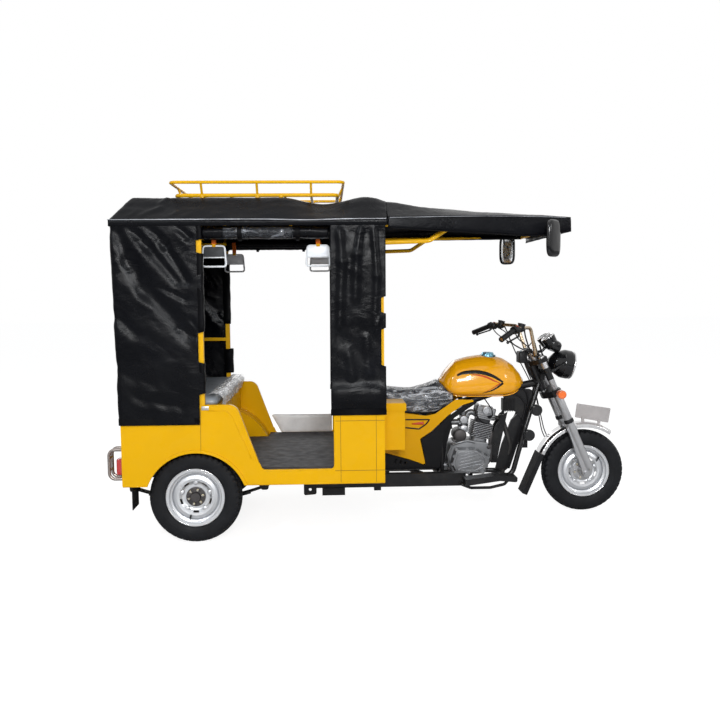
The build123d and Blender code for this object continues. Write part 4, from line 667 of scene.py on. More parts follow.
WHEELS = [  # node stem, body, x, y, outboard side
    ("front", "front_wheel", FRONT_AXLE_X, 0.0, -1),
    ("rear_right", "rear_wheel_right", REAR_AXLE_X, -0.518, -1),
    ("rear_left", "rear_wheel_left", REAR_AXLE_X, 0.518, 1),
]
for stem, body, x, y, side in WHEELS:
    tyre(stem + "_tyre", body, x, y)
    wear(stem + "_rim", "silver")
    wear(stem + "_hub", "fork_silver" if stem == "front" else "drum")
    axis = Vector((0, side, 0))
    centre = Vector((x, y, AXLE_Z))
    # wheel nuts and their studs
    nuts, studs = Shape(), Shape()
    ring = 0.050 if stem == "front" else 0.041
    base = 0.018 if stem == "front" else 0.020
    for k in range(6):
        spot = on_wheel(centre, axis, math.radians(60 * k + 12), ring, base)
        nuts.prism(spot, axis, 0.0085, 0.009)
        studs.tube([spot, spot + axis * 0.014], 0.0045, 8)
    nuts.show(stem + "_wheel_nuts", "zinc", "steel", body, sharp=35)
    studs.show(stem + "_wheel_studs", "steel", "steel", body, sharp=40)
    # pressed bosses round the dish between its slots
    bosses = Shape()
    for k in range(5):
        spot = on_wheel(centre, axis, math.radians(90 + 72 * k), 0.084, 0.017)
        bosses.lathe(spot, axis, [(0.015, 0.0), (0.0135, 0.004), (0.009, 0.0065), (0.0001, 0.007)], 20)
    bosses.show(stem + "_dish_bosses", "silver", "rim_silver", body)
    # bead ring and valve
    ring_line = Shape()
    for r, h, g in ((0.1655, 0.0415, 0.0022), (0.1465, 0.0262, 0.0014)):
        ring_line.tube([on_wheel(centre, axis, t, r, h) for t in angles(72)], g, 8, closed=True)
    ring_line.show(stem + "_rim_edge", "chrome", "rim_silver", body)
    t = math.radians(-105 if stem != "front" else 38)
    foot, tip = on_wheel(centre, axis, t, 0.138, 0.016), on_wheel(centre, axis, t, 0.112, 0.042)
    valve = Shape()
    valve.hose([foot, foot.lerp(tip, 0.5) + axis * 0.004, tip], 0.0042, 5)
    valve.tube([tip, tip + (tip - foot).normalized() * 0.009], 0.0052, 10)
    valve.show(stem + "_valve", "black_plastic", "rubber_black", body, sharp=40)


# ------------------------------------------------------------------ canopy
def smooth_min(values, k):
    """Lowest of the values, eased where two come near."""
    low = min(values)
    return low - k * math.log(sum(math.exp(-(v - low) / k) for v in values))


ROOF_LINE = [(-425, 1978), (470, 1978), (560, 1973), (660, 1953), (757, 1942), (850, 1953), (940, 1973),
             (1000, 1979), (1060, 1970), (1110, 1954)]
BOWS = (-316, 62, 520, 1000)
CANOPY_Y = 633.0
CANOPY_BACK = -425
EAVE, SKIRT = 1838, 1803  # heights of the roof's edge and of the cloth's lower edge


def eased_table(rows, x):
    """The columns of a table at a place between its rows, along a smooth line."""
    i = 0
    while i < len(rows) - 2 and rows[i + 1][0] < x:
        i += 1
    p1, p2 = rows[i], rows[i + 1]
    p0, p3 = rows[max(i - 1, 0)], rows[min(i + 2, len(rows) - 1)]
    t = max(0.0, min(1.0, (x - p1[0]) / (p2[0] - p1[0])))
    return [catmull(*column, t) for column in zip(p0[1:], p1[1:], p2[1:], p3[1:])]


def ridges(u, z, lines):
    """Height of soft ridges at a place: each is (u, z) to (u, z), half width and height."""
    total = 0.0
    for u0, z0, u1, z1, width, height in lines:
        du, dz = u1 - u0, z1 - z0
        share = ((u - u0) * du + (z - z0) * dz) / (du * du + dz * dz)
        near = max(0.0, min(1.0, share))
        gap = math.hypot(u - u0 - du * near, z - z0 - dz * near)
        total += height * math.exp(-(gap / width) ** 2)
    return total


HIP_CREASES = [
    (-250, 1862, -150, 1916, 13, 10.8), (-165, 1935, -130, 1968, 11, 7.8), (-110, 1846, -62, 1880, 11, 10.1),
    (-30, 1846, 20, 1872, 10, 7.8), (120, 1850, 180, 1868, 12, 6.2), (380, 1848, 450, 1866, 12, 6.2),
    (620, 1850, 700, 1858, 12, 6.2), (-330, 1850, -290, 1880, 12, 6.2),
]


def roof_z(x, y):
    """Height of the canopy: the lower of top, hip and back, sagging between the bows and creased at the hips."""
    top = eased_table(ROOF_LINE, x)[0]
    a = abs(y)
    hip = EAVE + (top - EAVE) * (CANOPY_Y - a) / (CANOPY_Y - 470)
    rear = EAVE + 140 * (x - CANOPY_BACK) / 92
    z = smooth_min([top, hip, rear], 7.0)
    sag = 0.0
    for b0, b1 in zip(BOWS, BOWS[1:]):
        if b0 < x < b1:
            sag = math.sin(math.pi * (x - b0) / (b1 - b0)) ** 2
    edge = min(1.0, max(0.0, (CANOPY_Y - a) / 90.0)) * min(1.0, max(0.0, (x - CANOPY_BACK) / 70.0))
    hip_zone = 1.0 if a > 455 else 0.35
    crinkle = wrinkle(x * 0.35, y, z * 1.4, 0.017, 3.0) * 3.4 + wrinkle(x * 0.8, y, z, 0.046, 7.0) * 1.2
    if a > 470:
        crinkle += ridges(x, z, HIP_CREASES)
    return max(EAVE, z - (2.2 + 3.0 * (a > 480)) * sag * edge + crinkle * edge * hip_zone)


rows = []
across = [-CANOPY_Y + 2 * CANOPY_Y * j / 120 for j in range(121)]
for z in (SKIRT, 1816, 1832):
    sides = [at(CANOPY_BACK, CANOPY_Y, min(z, low)) for low in (SKIRT, 1824)]
    row = [Vector((p.x, -p.y, p.z)) for p in sides] + [at(CANOPY_BACK, y, z) for y in across]
    rows.append(row + sides[::-1])
for i in range(154):
    x = CANOPY_BACK + 1534 * i / 153
    row = [at(x, -CANOPY_Y, SKIRT), at(x, -CANOPY_Y, 1824)] + [at(x, y, roof_z(x, y)) for y in across]
    rows.append(row + [at(x, CANOPY_Y, 1824), at(x, CANOPY_Y, SKIRT)])
canopy = cloth_from("canopy_cloth", "canvas", rows, 0.003, offset=-1.0)
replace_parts(canopy, "canopy_top")

# ------------------------------------------------------------------ visor
VISOR_BACK, VISOR_FRONT = 1110, 2168
VISOR = [  # ahead, half width, lower edge, fold, half width of the flat, top
    (1110, 633, 1789, 1846, 470, 1950),
    (1300, 620, 1778, 1850, 470, 1924),
    (1480, 602, 1769, 1855, 470, 1905),
    (1680, 580, 1759, 1858, 469, 1890),
    (1880, 556, 1747, 1858, 466, 1878),
    (2020, 538, 1750, 1857, 460, 1872),
    (2168, 521, 1774, 1852, 450, 1865),
]


def visor_point(x, s):
    """A point on the visor's top, s from -1 at the near fold to 1 at the far one."""
    half, _, fold, flat, top = eased_table(VISOR, x)
    y = half * s
    a = abs(y)
    hip = fold + (top - fold) * (half - a) / max(half - flat, 1.0)
    front = fold + 4 + (VISOR_FRONT - x) * 0.55
    z = max(fold, smooth_min([top, hip, front], 4.0))
    inner = min(1.0, (half - a) / 60.0) * min(1.0, (VISOR_FRONT - x) / 60.0) * min(1.0, (x - VISOR_BACK) / 40.0)
    z += inner * (wrinkle(x * 0.6, y, 0, 0.010, 5.0) * 4.0 + wrinkle(x, y, 0, 0.034, 1.0) * 1.2)
    return at(x, y, z)


def visor_skirt(x, s, drop):
    """A point on the hanging edge, drop from 0 at the fold to 1 at the hem."""
    half, low, fold, *_ = eased_table(VISOR, x)
    low = max(low, 1802.0) if s > 0 else low - 5.0  # the far side is turned up
    z = fold + (low - fold) * drop
    bulge = 5.0 * math.sin(math.pi * drop) + drop * 3.0 * math.sin(x * 0.021 + 1.0)
    return (ax(x), math.copysign((half + bulge * 0.5) / 1000, s), z / 1000)


rows = []
visor_s = [-1 + 2 * j / 96 for j in range(97)]
drops = [1.0, 0.75, 0.5, 0.25, 0.1]
for i in range(111):
    x = VISOR_BACK + (VISOR_FRONT - VISOR_BACK) * i / 110
    rows.append([visor_skirt(x, -1, d) for d in drops] + [visor_point(x, s) for s in visor_s]
                + [visor_skirt(x, 1, d) for d in reversed(drops)])
half, low, fold, flat, top = VISOR[-1][1:]
for d in reversed(drops):
    z = fold + (low - 5.0 - fold) * d
    lean = VISOR_FRONT + 3.0 * math.sin(math.pi * d)
    row = [(ax(lean), -half / 1000, (fold + (low - 5.0 - fold) * max(d, e)) / 1000) for e in drops]
    row += [(ax(lean + 2 * math.sin(j * 0.42) * d), s * half / 1000, z / 1000) for j, s in enumerate(visor_s)]
    row += [(ax(lean), half / 1000, (fold + (low - fold) * max(d, e)) / 1000) for e in reversed(drops)]
    rows.append(row)
visor = cloth_from("visor_cloth", "canvas", rows, 0.003, offset=-1.0)
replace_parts(visor, "visor")

# piping along the eaves and the visor's fold, hems below
piping, hems = Shape(), Shape()
for s in (-1, 1):
    line = [at(CANOPY_BACK, s * 634.0, EAVE)]
    line += [at(x, s * 635.4, EAVE - 5 * math.exp(-((x - 660) / 160.0) ** 2)) for x in range(-380, 1110, 40)]
    piping.tube(line, 0.0025, 8)
    for shape, drop, out, places, radius, sides in (
            (piping, 0.04, 0.002, range(1120, 2165, 30), 0.0012, 6),
            (hems, 0.96, 0.001, range(1116, 2165, 24), 0.0042, 8)):
        shape.tube([Vector(visor_skirt(x, s, drop)) + Vector((0, s * out, 0)) for x in places], radius, sides)
piping.tube([at(CANOPY_BACK - 1.5, y, EAVE) for y in range(-630, 631, 30)], 0.0025, 8)
piping.show("roof_piping", "piping", "canopy_black")
hems.show("visor_hem", "hem", "canopy_black")


# ------------------------------------------------------------------ curtains
SIDE_FOLDS = [  # on the rear curtain's sides: (ahead, z) to (ahead, z), half width, height
    (-392, 1800, -312, 1600, 34, 11.0), (-312, 1600, -236, 1462, 44, 14.0), (-236, 1462, 0, 1200, 40, 13.0),
    (-318, 1806, -215, 1690, 26, 9.0), (-215, 1690, -60, 1500, 26, 8.0), (-224, 1826, -125, 1700, 24, 9.0),
    (-125, 1700, -8, 1500, 22, 8.0), (-55, 1812, 16, 1735, 18, 8.0), (-180, 1480, -20, 1400, 16, 4.0),
    (-385, 1300, -300, 1210, 30, 5.0), (-60, 1240, 40, 1190, 14, 6.0), (-396, 1010, -200, 930, 40, 4.0),
    (10, 1290, 66, 1215, 12, 6.0), (-300, 860, -60, 800, 30, 4.0),
]
BACK_FOLDS = [  # on its back: (across, z) to (across, z)
    (-600, 1790, -380, 1420, 44, 12.0), (-380, 1420, -180, 1150, 44, 10.0), (600, 1790, 400, 1450, 44, 12.0),
    (400, 1450, 150, 1180, 44, 9.0), (-330, 1800, -250, 1600, 26, 7.0), (330, 1800, 240, 1560, 26, 7.0),
    (-40, 1806, 10, 1500, 30, 7.0), (-560, 1050, -300, 900, 40, 6.0), (560, 1000, 330, 880, 40, 6.0),
]
FRONT_FOLDS = [  # on the front curtains
    (838, 1800, 852, 1600, 20, 8.0), (852, 1600, 836, 1250, 24, 9.0), (962, 1812, 934, 1640, 16, 8.0),
    (934, 1640, 926, 1400, 22, 8.0), (1028, 1800, 1046, 1520, 16, 8.0), (1046, 1520, 1034, 1240, 18, 7.0),
    (1062, 1290, 1040, 1200, 12, 6.0), (800, 852, 1080, 846, 52, 24.0), (880, 1120, 905, 960, 26, 5.0),
    (985, 1180, 1000, 980, 24, 5.0),
]


def fold_field(x, y, z, seed):
    """Soft folds that run down and forward, with finer crinkles."""
    along, square = (x - 0.86 * z) / 1320.0, (0.86 * x + z) / 1320.0
    value = noise.noise(Vector((along * 1.5 + seed, square * 6.5, y * 0.001))) * 5.0
    value += noise.noise(Vector((along * 3.4 - seed, square * 19.0, y * 0.002 + 5.0))) * 2.4
    value += noise.noise(Vector((x * 0.02, y * 0.02, z * 0.02 + seed))) * 1.4
    if abs(y) < 600:
        value += ridges(y, z, BACK_FOLDS)
    elif x > 500:
        value += 1.25 * ridges(x, z, FRONT_FOLDS)
    else:
        value += 1.5 * ridges(x, z, SIDE_FOLDS)
    return value - 3.0


def curtain(name, path_at, height, rows_count, cols, seed, amount=1.0):
    """Hanging cloth: its plan at each height, pushed out along the normal by the folds."""
    rows = []
    for i in range(rows_count):
        z = height[0] + (height[1] - height[0]) * i / (rows_count - 1)
        plan = resample([Vector((px, py, 0)) for px, py in path_at(z)], cols)
        row = []
        hold = min(1.0, (height[1] - z) / 45.0)
        for j, p in enumerate(plan):
            before, after = plan[max(j - 1, 0)], plan[min(j + 1, cols - 1)]
            along = (after - before).normalized()
            out = Vector((along.y, -along.x, 0))
            ends = min(1.0, j / 6.0, (cols - 1 - j) / 6.0)
            push = fold_field(p.x, p.y, z, seed) * amount * hold * (0.3 + 0.7 * ends)
            push = max(-9.0, push) if push < 0 else 20.0 * math.tanh(push / 20.0)
            q = p + out * push
            row.append(at(q.x, q.y, z))
        rows.append(row)
    return cloth_from(name, "canvas_soft", rows, 0.0025)


def wrapped(z, edge, bare, windows):
    """Edge of a curtain that wraps its pillar, except where the pillar shows."""
    for low, high in windows:
        if low < z < high:
            return bare
    return edge


BARE_DOOR_PILLAR = ((690, 872), (1046, 1219), (1655, 1728))
BARE_FRONT_PILLAR = ((1016, 1226), (1314, 1408))


def rear_plan(z):
    t = (z - 700.0) / 1111.0
    front = wrapped(z, 78.0, 49.0, BARE_DOOR_PILLAR)
    back = -402.0 - 19.0 * t
    return flat_corners([(front, -630), (back, -630), (back, 630), (front, 630)], 22, 6)


rear_curtain = curtain("rear_curtain_cloth", rear_plan, (700.0, 1811.0), 140, 210, 2.0)
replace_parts(rear_curtain, "rear_curtain")


def front_plan(side):
    def plan(z):
        t = (z - 742.0) / 1069.0
        edge = wrapped(z, 1096.0, 1070.0, BARE_FRONT_PILLAR)
        ends = [(784.0 + 4 * t, side * 630.0), (edge, side * 630.0)]
        return ends if side < 0 else ends[::-1]
    return plan


for side, word in SIDES:
    cloth = curtain("front_curtain_" + word, front_plan(side), (742.0, 1811.0), 134, 48, 8.0 + side, 1.1)
    if side < 0:
        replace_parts(cloth, "front_curtains")

# hem bands and the flaps that button round the pillars
bands = Shape()


def band(points, z0, z1):
    bands.grid([[at(px, py, z) for px, py in points] for z in (z0, z0 + 2, (z0 + z1) / 2, z1 - 2, z1)])


band(flat_corners([(48, -634.5), (-406, -634.5), (-406, 634.5), (48, 634.5)], 24, 6), 699.0, 737.0)
for s in (-1, 1):
    band([(782, s * 633.5), (1097.5, s * 633.5)], 741.0, 776.0)
# flaps that wrap round the door pillars between the bare places
for s in (-1, 1):
    for low, high, lap in ((874, 1044, 97 if s > 0 else 82), (1221, 1653, 84), (1730, 1806, 82)):
        front = lap - 2
        plan = flat_corners([(52, s * 632.2), (front, s * 631.0), (front, s * 584.0), (36, s * 584.0)], 5, 3)
        bands.grid([[at(px + 1.5 * math.sin(z * 0.05 + px), py, z) for px, py in plan]
                    for z in [low + (high - low) * k / 12 for k in range(13)]])
band_obj = thick_piece(bands, "curtain_hems", "hem", 0.002)


# ------------------------------------------------------------------ rolled windows
RAIL_Y = 500.0  # the rails that carry the grab handles
ROLL_Z = 1770.0
STRAPS = (286, 607)  # where the straps pinch the rolls


def roll_rings(x0, x1, y, radius, seed, steps=90):
    """Rings of a roll of cloth, lumpy by noise."""
    rows = []
    for i in range(steps + 1):
        x = x0 + (x1 - x0) * i / steps
        row = []
        for t in angles(40):
            r = radius
            r += 2.6 * noise.noise(Vector((x * 0.012, math.cos(t) * 0.9 + seed, math.sin(t) * 0.9)))
            r += 1.3 * noise.noise(Vector((x * 0.05, math.cos(t) * 2.5 - seed, math.sin(t) * 2.5)))
            for strap in STRAPS:
                r -= 4.0 * math.exp(-((x - strap) / 22.0) ** 2)
            row.append(at(x, y + r * math.cos(t), ROLL_Z + r * math.sin(t) * 0.93))
        rows.append(row)
    return rows


for side, word in SIDES:
    y = side * 574.0
    rows = roll_rings(78, 779, y, 38.0, 4.0 + side)
    shape = Shape()
    shape.grid(rows, close_cols=True)
    # rolled ends: a spiral of cloth edges
    for end, sense in ((rows[0], -1), (rows[-1], 1)):
        centre = middle_of(end)
        rings = []
        for k, share in enumerate((1.0, 0.92, 0.86, 0.74, 0.68, 0.52, 0.46, 0.28, 0.2, 0.04)):
            dip = 0.004 if k % 2 else 0.0
            rings.append([centre.lerp(Vector(p), share) - Vector((sense * dip, 0, 0)) for p in end])
        shape.grid(rings, close_cols=True)
    roll = shape.show("window_roll_" + word, "canvas_soft", "canopy_black")
    if side < 0:
        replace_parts(roll, "window_rolls")
    # the window's clear film shows in the middle of the roll
    shape = Shape()
    shape.grid(roll_rings(196, 581, y, 39.4, 4.0 + side, 60), close_cols=True)
    shape.show("window_film_" + word, "film_roll", "canopy_black")
    straps = Shape()
    for place in STRAPS:
        rows = []
        for x in (place - 13, place - 12, place, place + 12, place + 13):
            r = 38.2 + (1.6 if abs(x - place) < 13 else 0.2)
            rows.append([at(x, y + r * math.cos(t),
                            1769.5 + r * math.sin(t) * 0.94 + (2.0 if math.sin(t) > 0.9 else 0)) for t in angles(40)])
        straps.grid(rows, close_cols=True)
        # buckle tongue below the roll
        straps.box(at(place - 9, y - side * 6 - 2, 1722), at(place + 9, y - side * 6 + 2, 1736))
    straps.show("roll_straps_" + word, "hem", "canopy_black", sharp=40)
    # cloth sleeve on the rail that carries the grab handles
    shape = Shape()
    sleeve = [at(x, side * RAIL_Y, 1772) for x in range(80, 1061, 28)]
    shape.tube(sleeve, [0.0114 + 0.0005 * math.sin(k * 1.7) for k in range(len(sleeve))], 14)
    shape.show("rail_sleeve_" + word, "hem", "canopy_black")
    # and on the visor's edge tubes
    edge_tube = Shape()
    edge_tube.tube([at(1440 + 688 * k / 16, side * (607 - (341 + 688 * k / 16) * 0.1186), 1806) for k in range(17)],
                   [0.0128 + 0.0005 * math.sin(k * 1.9) for k in range(17)], 14)
    edge_tube.show("visor_sleeve_" + word, "hem", "canopy_black")
    # valance inside the skirt, seen across the cab
    shape = Shape()
    shape.grid([[at(x, side * (526 + 1.6 * math.sin(x * 0.03 + side) * d), z)
                 for d, z in ((0, 1806), (0.3, 1785), (0.7, 1758), (1, 1733))]
                for x in [80 + 716 * i / 59 for i in range(60)]])
    thick_piece(shape, "valance_" + word, "canvas", 0.002)


# ------------------------------------------------------------------ padded pieces
PUFF_FRAMES, PUFF_PRESSURE = 18, 4.0


def puff(obj, voxel, cap):
    """Swell a closed form under inner pressure, cap how far it may move, and smooth it."""
    remesh = obj.modifiers.new("remesh", "REMESH")
    remesh.mode, remesh.voxel_size = "VOXEL", voxel
    apply_modifiers(obj)
    rest = [v.co.copy() for v in obj.data.vertices]
    cloth = obj.modifiers.new("cloth", "CLOTH")
    cloth.settings.use_pressure = True
    cloth.settings.uniform_pressure_force = PUFF_PRESSURE
    cloth.settings.effector_weights.gravity = 0.0
    cloth.settings.quality = 4
    cloth.point_cache.frame_start, cloth.point_cache.frame_end = 1, PUFF_FRAMES
    for f in range(1, PUFF_FRAMES + 1):
        scene.frame_set(f)
    apply_modifiers(obj)
    scene.frame_set(1)
    for v, p in zip(obj.data.vertices, rest):
        move = v.co - p
        if move.length > cap:
            v.co = p + move.normalized() * cap
    smooth = obj.modifiers.new("smooth", "SMOOTH")
    smooth.factor, smooth.iterations = 0.5, 3
    apply_modifiers(obj)
    shade_smooth(obj.data)


def pad(shape, name, material, voxel, cap):
    obj = shape.out(name, material, None)
    puff(obj, voxel, cap)
    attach(obj, CHASSIS)
    return obj


def pillow(low, high, inset, corner, crown):
    """Closed cushion between two corners: rounded plan, crowned top, flat where it rests."""
    (x0, y0, z0), (x1, y1, z1) = low, high
    cx, cy = (x0 + x1) / 2, (y0 + y1) / 2
    hx, hy = (x1 - x0) / 2 - inset, (y1 - y0) / 2 - inset
    plan = rounded(176, 2.0 / corner, 2.0 / corner)
    shape = Shape()
    rings = []
    levels = [(0.0, 0.02), (0.5, 0.0), (0.85, 0.0), (0.98, 0.0), (1.0, 0.10), (1.0, 0.34), (0.985, 0.6), (0.95, 0.8),
              (0.88, 0.92), (0.7, 0.97), (0.45, 0.99), (0.2, 1.0), (0.0, 1.0)]
    for spread, height in levels:
        share = max(spread, 0.001)
        lift = height * (z1 - z0) - (crown * spread ** 2 if height > 0.9 else 0.0)
        rings.append([at(cx + hx * c * share, cy + hy * s * share, z0 + lift) for c, s in plan])
    shape.grid(rings, close_cols=True)
    return shape


cushion = pillow((-300, -586, 800.6), (153, 586, 856), 3, 16, 6)
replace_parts(pad(cushion, "bench_seat_pad", "bench_vinyl", 0.012, 0.005), "bench_cushion")

rows_back = Shape()
rings = []
for i in range(49):
    y = -586 + 1172 * i / 48
    end = min(1.0, (586 - abs(y)) / 24.0) ** 0.5
    channel = 1.0
    if 30 < y + 586 < 1142:  # sewn channels, one every 195 mm
        channel -= 0.22 * math.exp(-(((y + 586) % 195.3 - 97.6) / 97.6 - 1) ** 2 * 60)
    ring = []
    for px, pz in rounded(40, 0.35, 0.22):
        fat = (30 * channel * end) if px > 0 else 28
        ring.append(at(-336 + px * fat * (0.9 + 0.1 * (1 - abs(pz))), y, 990 + pz * 186 * (0.97 + 0.03 * end)))
    rings.append(ring)
rows_back.grid(rings, close_cols=True)
rows_back.close_ends(rings, 0.5)
pad(rows_back, "bench_back_pad", "back_vinyl", 0.012, 0.005)

# clear film over the bench's front edge, bunched into a loose roll
rows = []
for j in range(161):
    y = -570 + 1140 * j / 160
    row = []
    section = [(92, 862), (110, 864), (130, 863), (148, 860), (160, 852), (166, 838), (164, 822), (160, 806),
               (160, 792), (158, 778)]
    for k, p in enumerate(resample([Vector((x, 0, z)) for x, z in section], 46)):
        loose = min(1.0, k / 12.0)
        a = noise.noise(Vector((p.x * 0.012, y * 0.020, p.z * 0.02 + 3.0)))
        b = noise.noise(Vector((p.x * 0.05, y * 0.055, p.z * 0.05)))
        lump = (a * 9.0 + b * 4.0) * loose
        out = Vector((0.25, 0, 1.0)) if p.z > 858 else Vector((1.0, 0, 0.15))
        q = p + out * (4.0 + max(-3.0, lump))
        row.append(at(q.x, y, q.z))
    rows.append(row)
film_sheet = cloth_from("bench_film", "film_white_glints", rows, 0.0006)

# padded board across the far doorway
shape = Shape()
outline = [(425, 431), (797, 431), (797, 569), (350, 575)]
edge = round_corners([(x, 0, z) for x, z in outline], 14, 4, closed=True)
edge = resample(edge + [edge[0]], 121)[:-1]
middle = middle_of(edge)
rings = []
for share, depth in ((0.02, 11.5), (0.3, 11.5), (0.6, 11.0), (0.85, 10.0), (0.95, 7.5), (1.0, 2.0), (1.0, -2.0),
                     (0.95, -7.5), (0.85, -10.0), (0.6, -11.0), (0.3, -11.5), (0.02, -11.5)):
    ring = []
    for p in edge:
        q = middle.lerp(p, share)
        puffed = 1.0 + 0.14 * noise.noise(Vector((q.x * 0.03, depth * 0.1, q.z * 0.03)))
        ring.append(at(q.x, 609 + depth * puffed, q.z))
    rings.append(ring)
shape.grid(rings, close_cols=True)
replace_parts(pad(shape, "doorway_pad", "board", 0.008, 0.003), "doorway_board")

# saddle: crowned pad with a dipped middle and a raised nose against the tank
SADDLE = [  # ahead, low, high, half width
    (1110, 690, 826, 112), (1135, 685, 828, 124), (1190, 677, 820, 128), (1290, 665, 814, 128), (1380, 660, 834, 126),
    (1436, 662, 853, 122), (1466, 672, 866, 118), (1504, 696, 834, 112), (1536, 718, 802, 104), (1572, 744, 776, 92),
]


def saddle_rings(grow, seed):
    """Rings round the saddle; grow sets its film off it."""
    rings = []
    for i in range(61):
        x = 1110 + 460 * i / 60
        low, high, half = eased_table(SADDLE, x)
        end = min(1.0, (x - 1108) / 26.0, (1573 - x) / 10.0)
        end = max(0.03, end) ** 0.5
        ring = []
        for py, pz in rounded(56, 2 / 3.2, 2 / 2.8, 2 / 6.0):
            mid, tall = (low + high) / 2, (high - low) / 2
            wide = (half - 2 + grow) * (0.72 + 0.28 * end) * (1.0 - 0.10 * (pz < 0) * abs(pz))
            lump = grow * 0.6 * noise.noise(Vector((x * 0.03 + seed, py * 3.0, pz * 3.0)))
            lump += grow * 0.5 * noise.noise(Vector((x * 0.012, py * 7.0 + seed, pz * 7.0)))
            tall_here = (tall - 1 + (grow * min(1.0, tall / 50.0) if pz > -0.3 else 0)) * (0.80 + 0.20 * end)
            ring.append(at(x, py * (wide + lump), mid + pz * tall_here + lump * (pz > 0)))
        rings.append(ring)
    return rings


shape = Shape()
rings = saddle_rings(0.0, 1.0)
shape.grid(rings, close_cols=True)
shape.close_ends(rings, 0.55)
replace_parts(pad(shape, "saddle_pad", "seat_vinyl", 0.008, 0.005), "saddle")
# its clear film, creased over the top and sides
rows = [ring[-6:] + ring[:35] for ring in saddle_rings(6.0, 6.0)[2:-2]]
saddle_film = cloth_from("saddle_film", "film_saddle", rows, 0.0006)


# ------------------------------------------------------------------ grab handles
handles = {"frame": Shape(), "card": Shape(), "dark": Shape(), "strap": Shape(), "end": Shape()}
for side in (-1, 1):
    for place in (130.0, 720.0):
        y = side * RAIL_Y
        frame_line = [(place - 60, 1700), (place + 60, 1700), (place + 68, 1584), (place - 68, 1584)]
        loop = round_corners([at(px, y, pz) for px, pz in frame_line], 0.018, 5, closed=True)
        handles["frame"].tube(loop, 0.0058, 10, closed=True)
        bar = [at(place - 64, y, 1636), at(place + 64, y, 1636)]
        handles["frame"].tube(bar, 0.0045, 10)
        # the near rear card gets dark grey instead of the clear card: painted shade
        key = "dark" if (side < 0 and place < 300) else "card"
        handles[key].box(at(place - 60, y - 3.5, 1634), at(place + 60, y + 3.5, 1698))
        points = [(y + r * math.cos(t0 + math.pi * k / 12), z + r * math.sin(t0 + math.pi * k / 12))
                  for r, z, t0 in ((12, 1772, 0.0), (9, 1716, math.pi)) for k in range(13)]
        rows = [[at(place + dx, py, pz) for py, pz in points] for dx in (-12, -11, 0, 11, 12)]
        handles["strap"].grid(rows, close_cols=True)
        handles["end"].box(at(place - 11, y - 8, 1694), at(place + 11, y + 8, 1716))
thick_piece(handles["strap"], "handle_straps", "strap", 0.002)
handles["end"].show("handle_strap_ends", "strap_end", "canopy_black", bevel=0.003)
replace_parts(handles["frame"].show("handle_frames", "white_plastic", "plastic_black"), "grab_handles")
handles["card"].show("handle_bodies", "clear_card", "plastic_black", bevel=0.0015)
handles["dark"].show("handle_body_painted_shade", "card_painted_shade", "plastic_black", bevel=0.0015)


# ------------------------------------------------------------------ finishes of the shown CAD nodes
FINISH = {
    "chassis_frame": "black_paint", "leaf_springs": "black_paint", "rear_axle": "black_paint",
    "side_panel_right": "body", "side_panel_left": "body", "rear_panel": "body", "front_panel": "body",
    "floor_pan": "body", "bench_box": "body", "floor_mat": "mat", "roof_frame": "frame_yellow",
    "roof_rack": "frame_yellow", "tail_lamps": "red", "rear_guards": "guard",
    "rear_flaps": "rubber", "bike_frame": "black_paint", "horns": "gloss_black",
    "side_covers": "cover", "lower_covers": "cover_black", "tool_box": "body", "tool_box_lid": "body",
    "engine_case": "alloy", "engine_cylinder": "iron", "engine_head": "alloy", "carburettor": "alloy",
    "exhaust": "exhaust", "foot_steps": "black_paint", "fork": "fork_silver", "handlebar": "chrome_warm_reflection",
    "hand_controls": "black_plastic", "headlamp": "gloss_black", "instrument_pod": "gloss_black",
    "turn_signals": "orange", "front_mudguard": "chrome", "number_plate": "plate", "front_flap": "rubber",
    "control_cables": "cable",
}
for node, finish_name in FINISH.items():
    wear(node, finish_name)


# ------------------------------------------------------------------ lines that hug a surface
def hug(name, target, line, width, material, side, lift, across=3, taper=None):
    """Strip laid on a surface: the line is (ahead, z) in millimetres, cast square onto the target from outboard."""
    tree = tree_of(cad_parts[target] if isinstance(target, str) else target)
    rows = []
    count = len(line)
    for i, p in enumerate(line):
        before, after = line[max(i - 1, 0)], line[min(i + 1, count - 1)]
        along = Vector((after[0] - before[0], after[1] - before[1])).normalized()
        square = Vector((-along.y, along.x))
        share = taper(i / (count - 1)) if taper else 1.0
        row = []
        for k in range(across):
            t = (k / (across - 1) - 0.5) * width * share
            px, pz = p[0] + square.x * t, p[1] + square.y * t
            start = at(px, side * 1500, pz)
            hit, normal, *_ = tree.ray_cast(start, Vector((0, -side, 0)))
            if hit is None:
                break
            if normal.y * side < 0:
                normal = -normal
            row.append(hit + normal * lift)
        if len(row) == across:
            rows.append(row)
    shape = Shape()
    shape.grid(rows)
    thick_piece(shape, name, material, 0.0008)


def flat(points, per):
    return [(p.x, p.y) for p in curve_points([(x, z, 0) for x, z in points], per)]


def straight(points, step=20.0):
    """Line with a point every step or so, its corners kept."""
    result = []
    for a, b in zip(points, points[1:]):
        n = max(1, int(math.dist(a, b) / step))
        result += [(a[0] + (b[0] - a[0]) * k / n, a[1] + (b[1] - a[1]) * k / n) for k in range(n)]
    return result + [points[-1]]


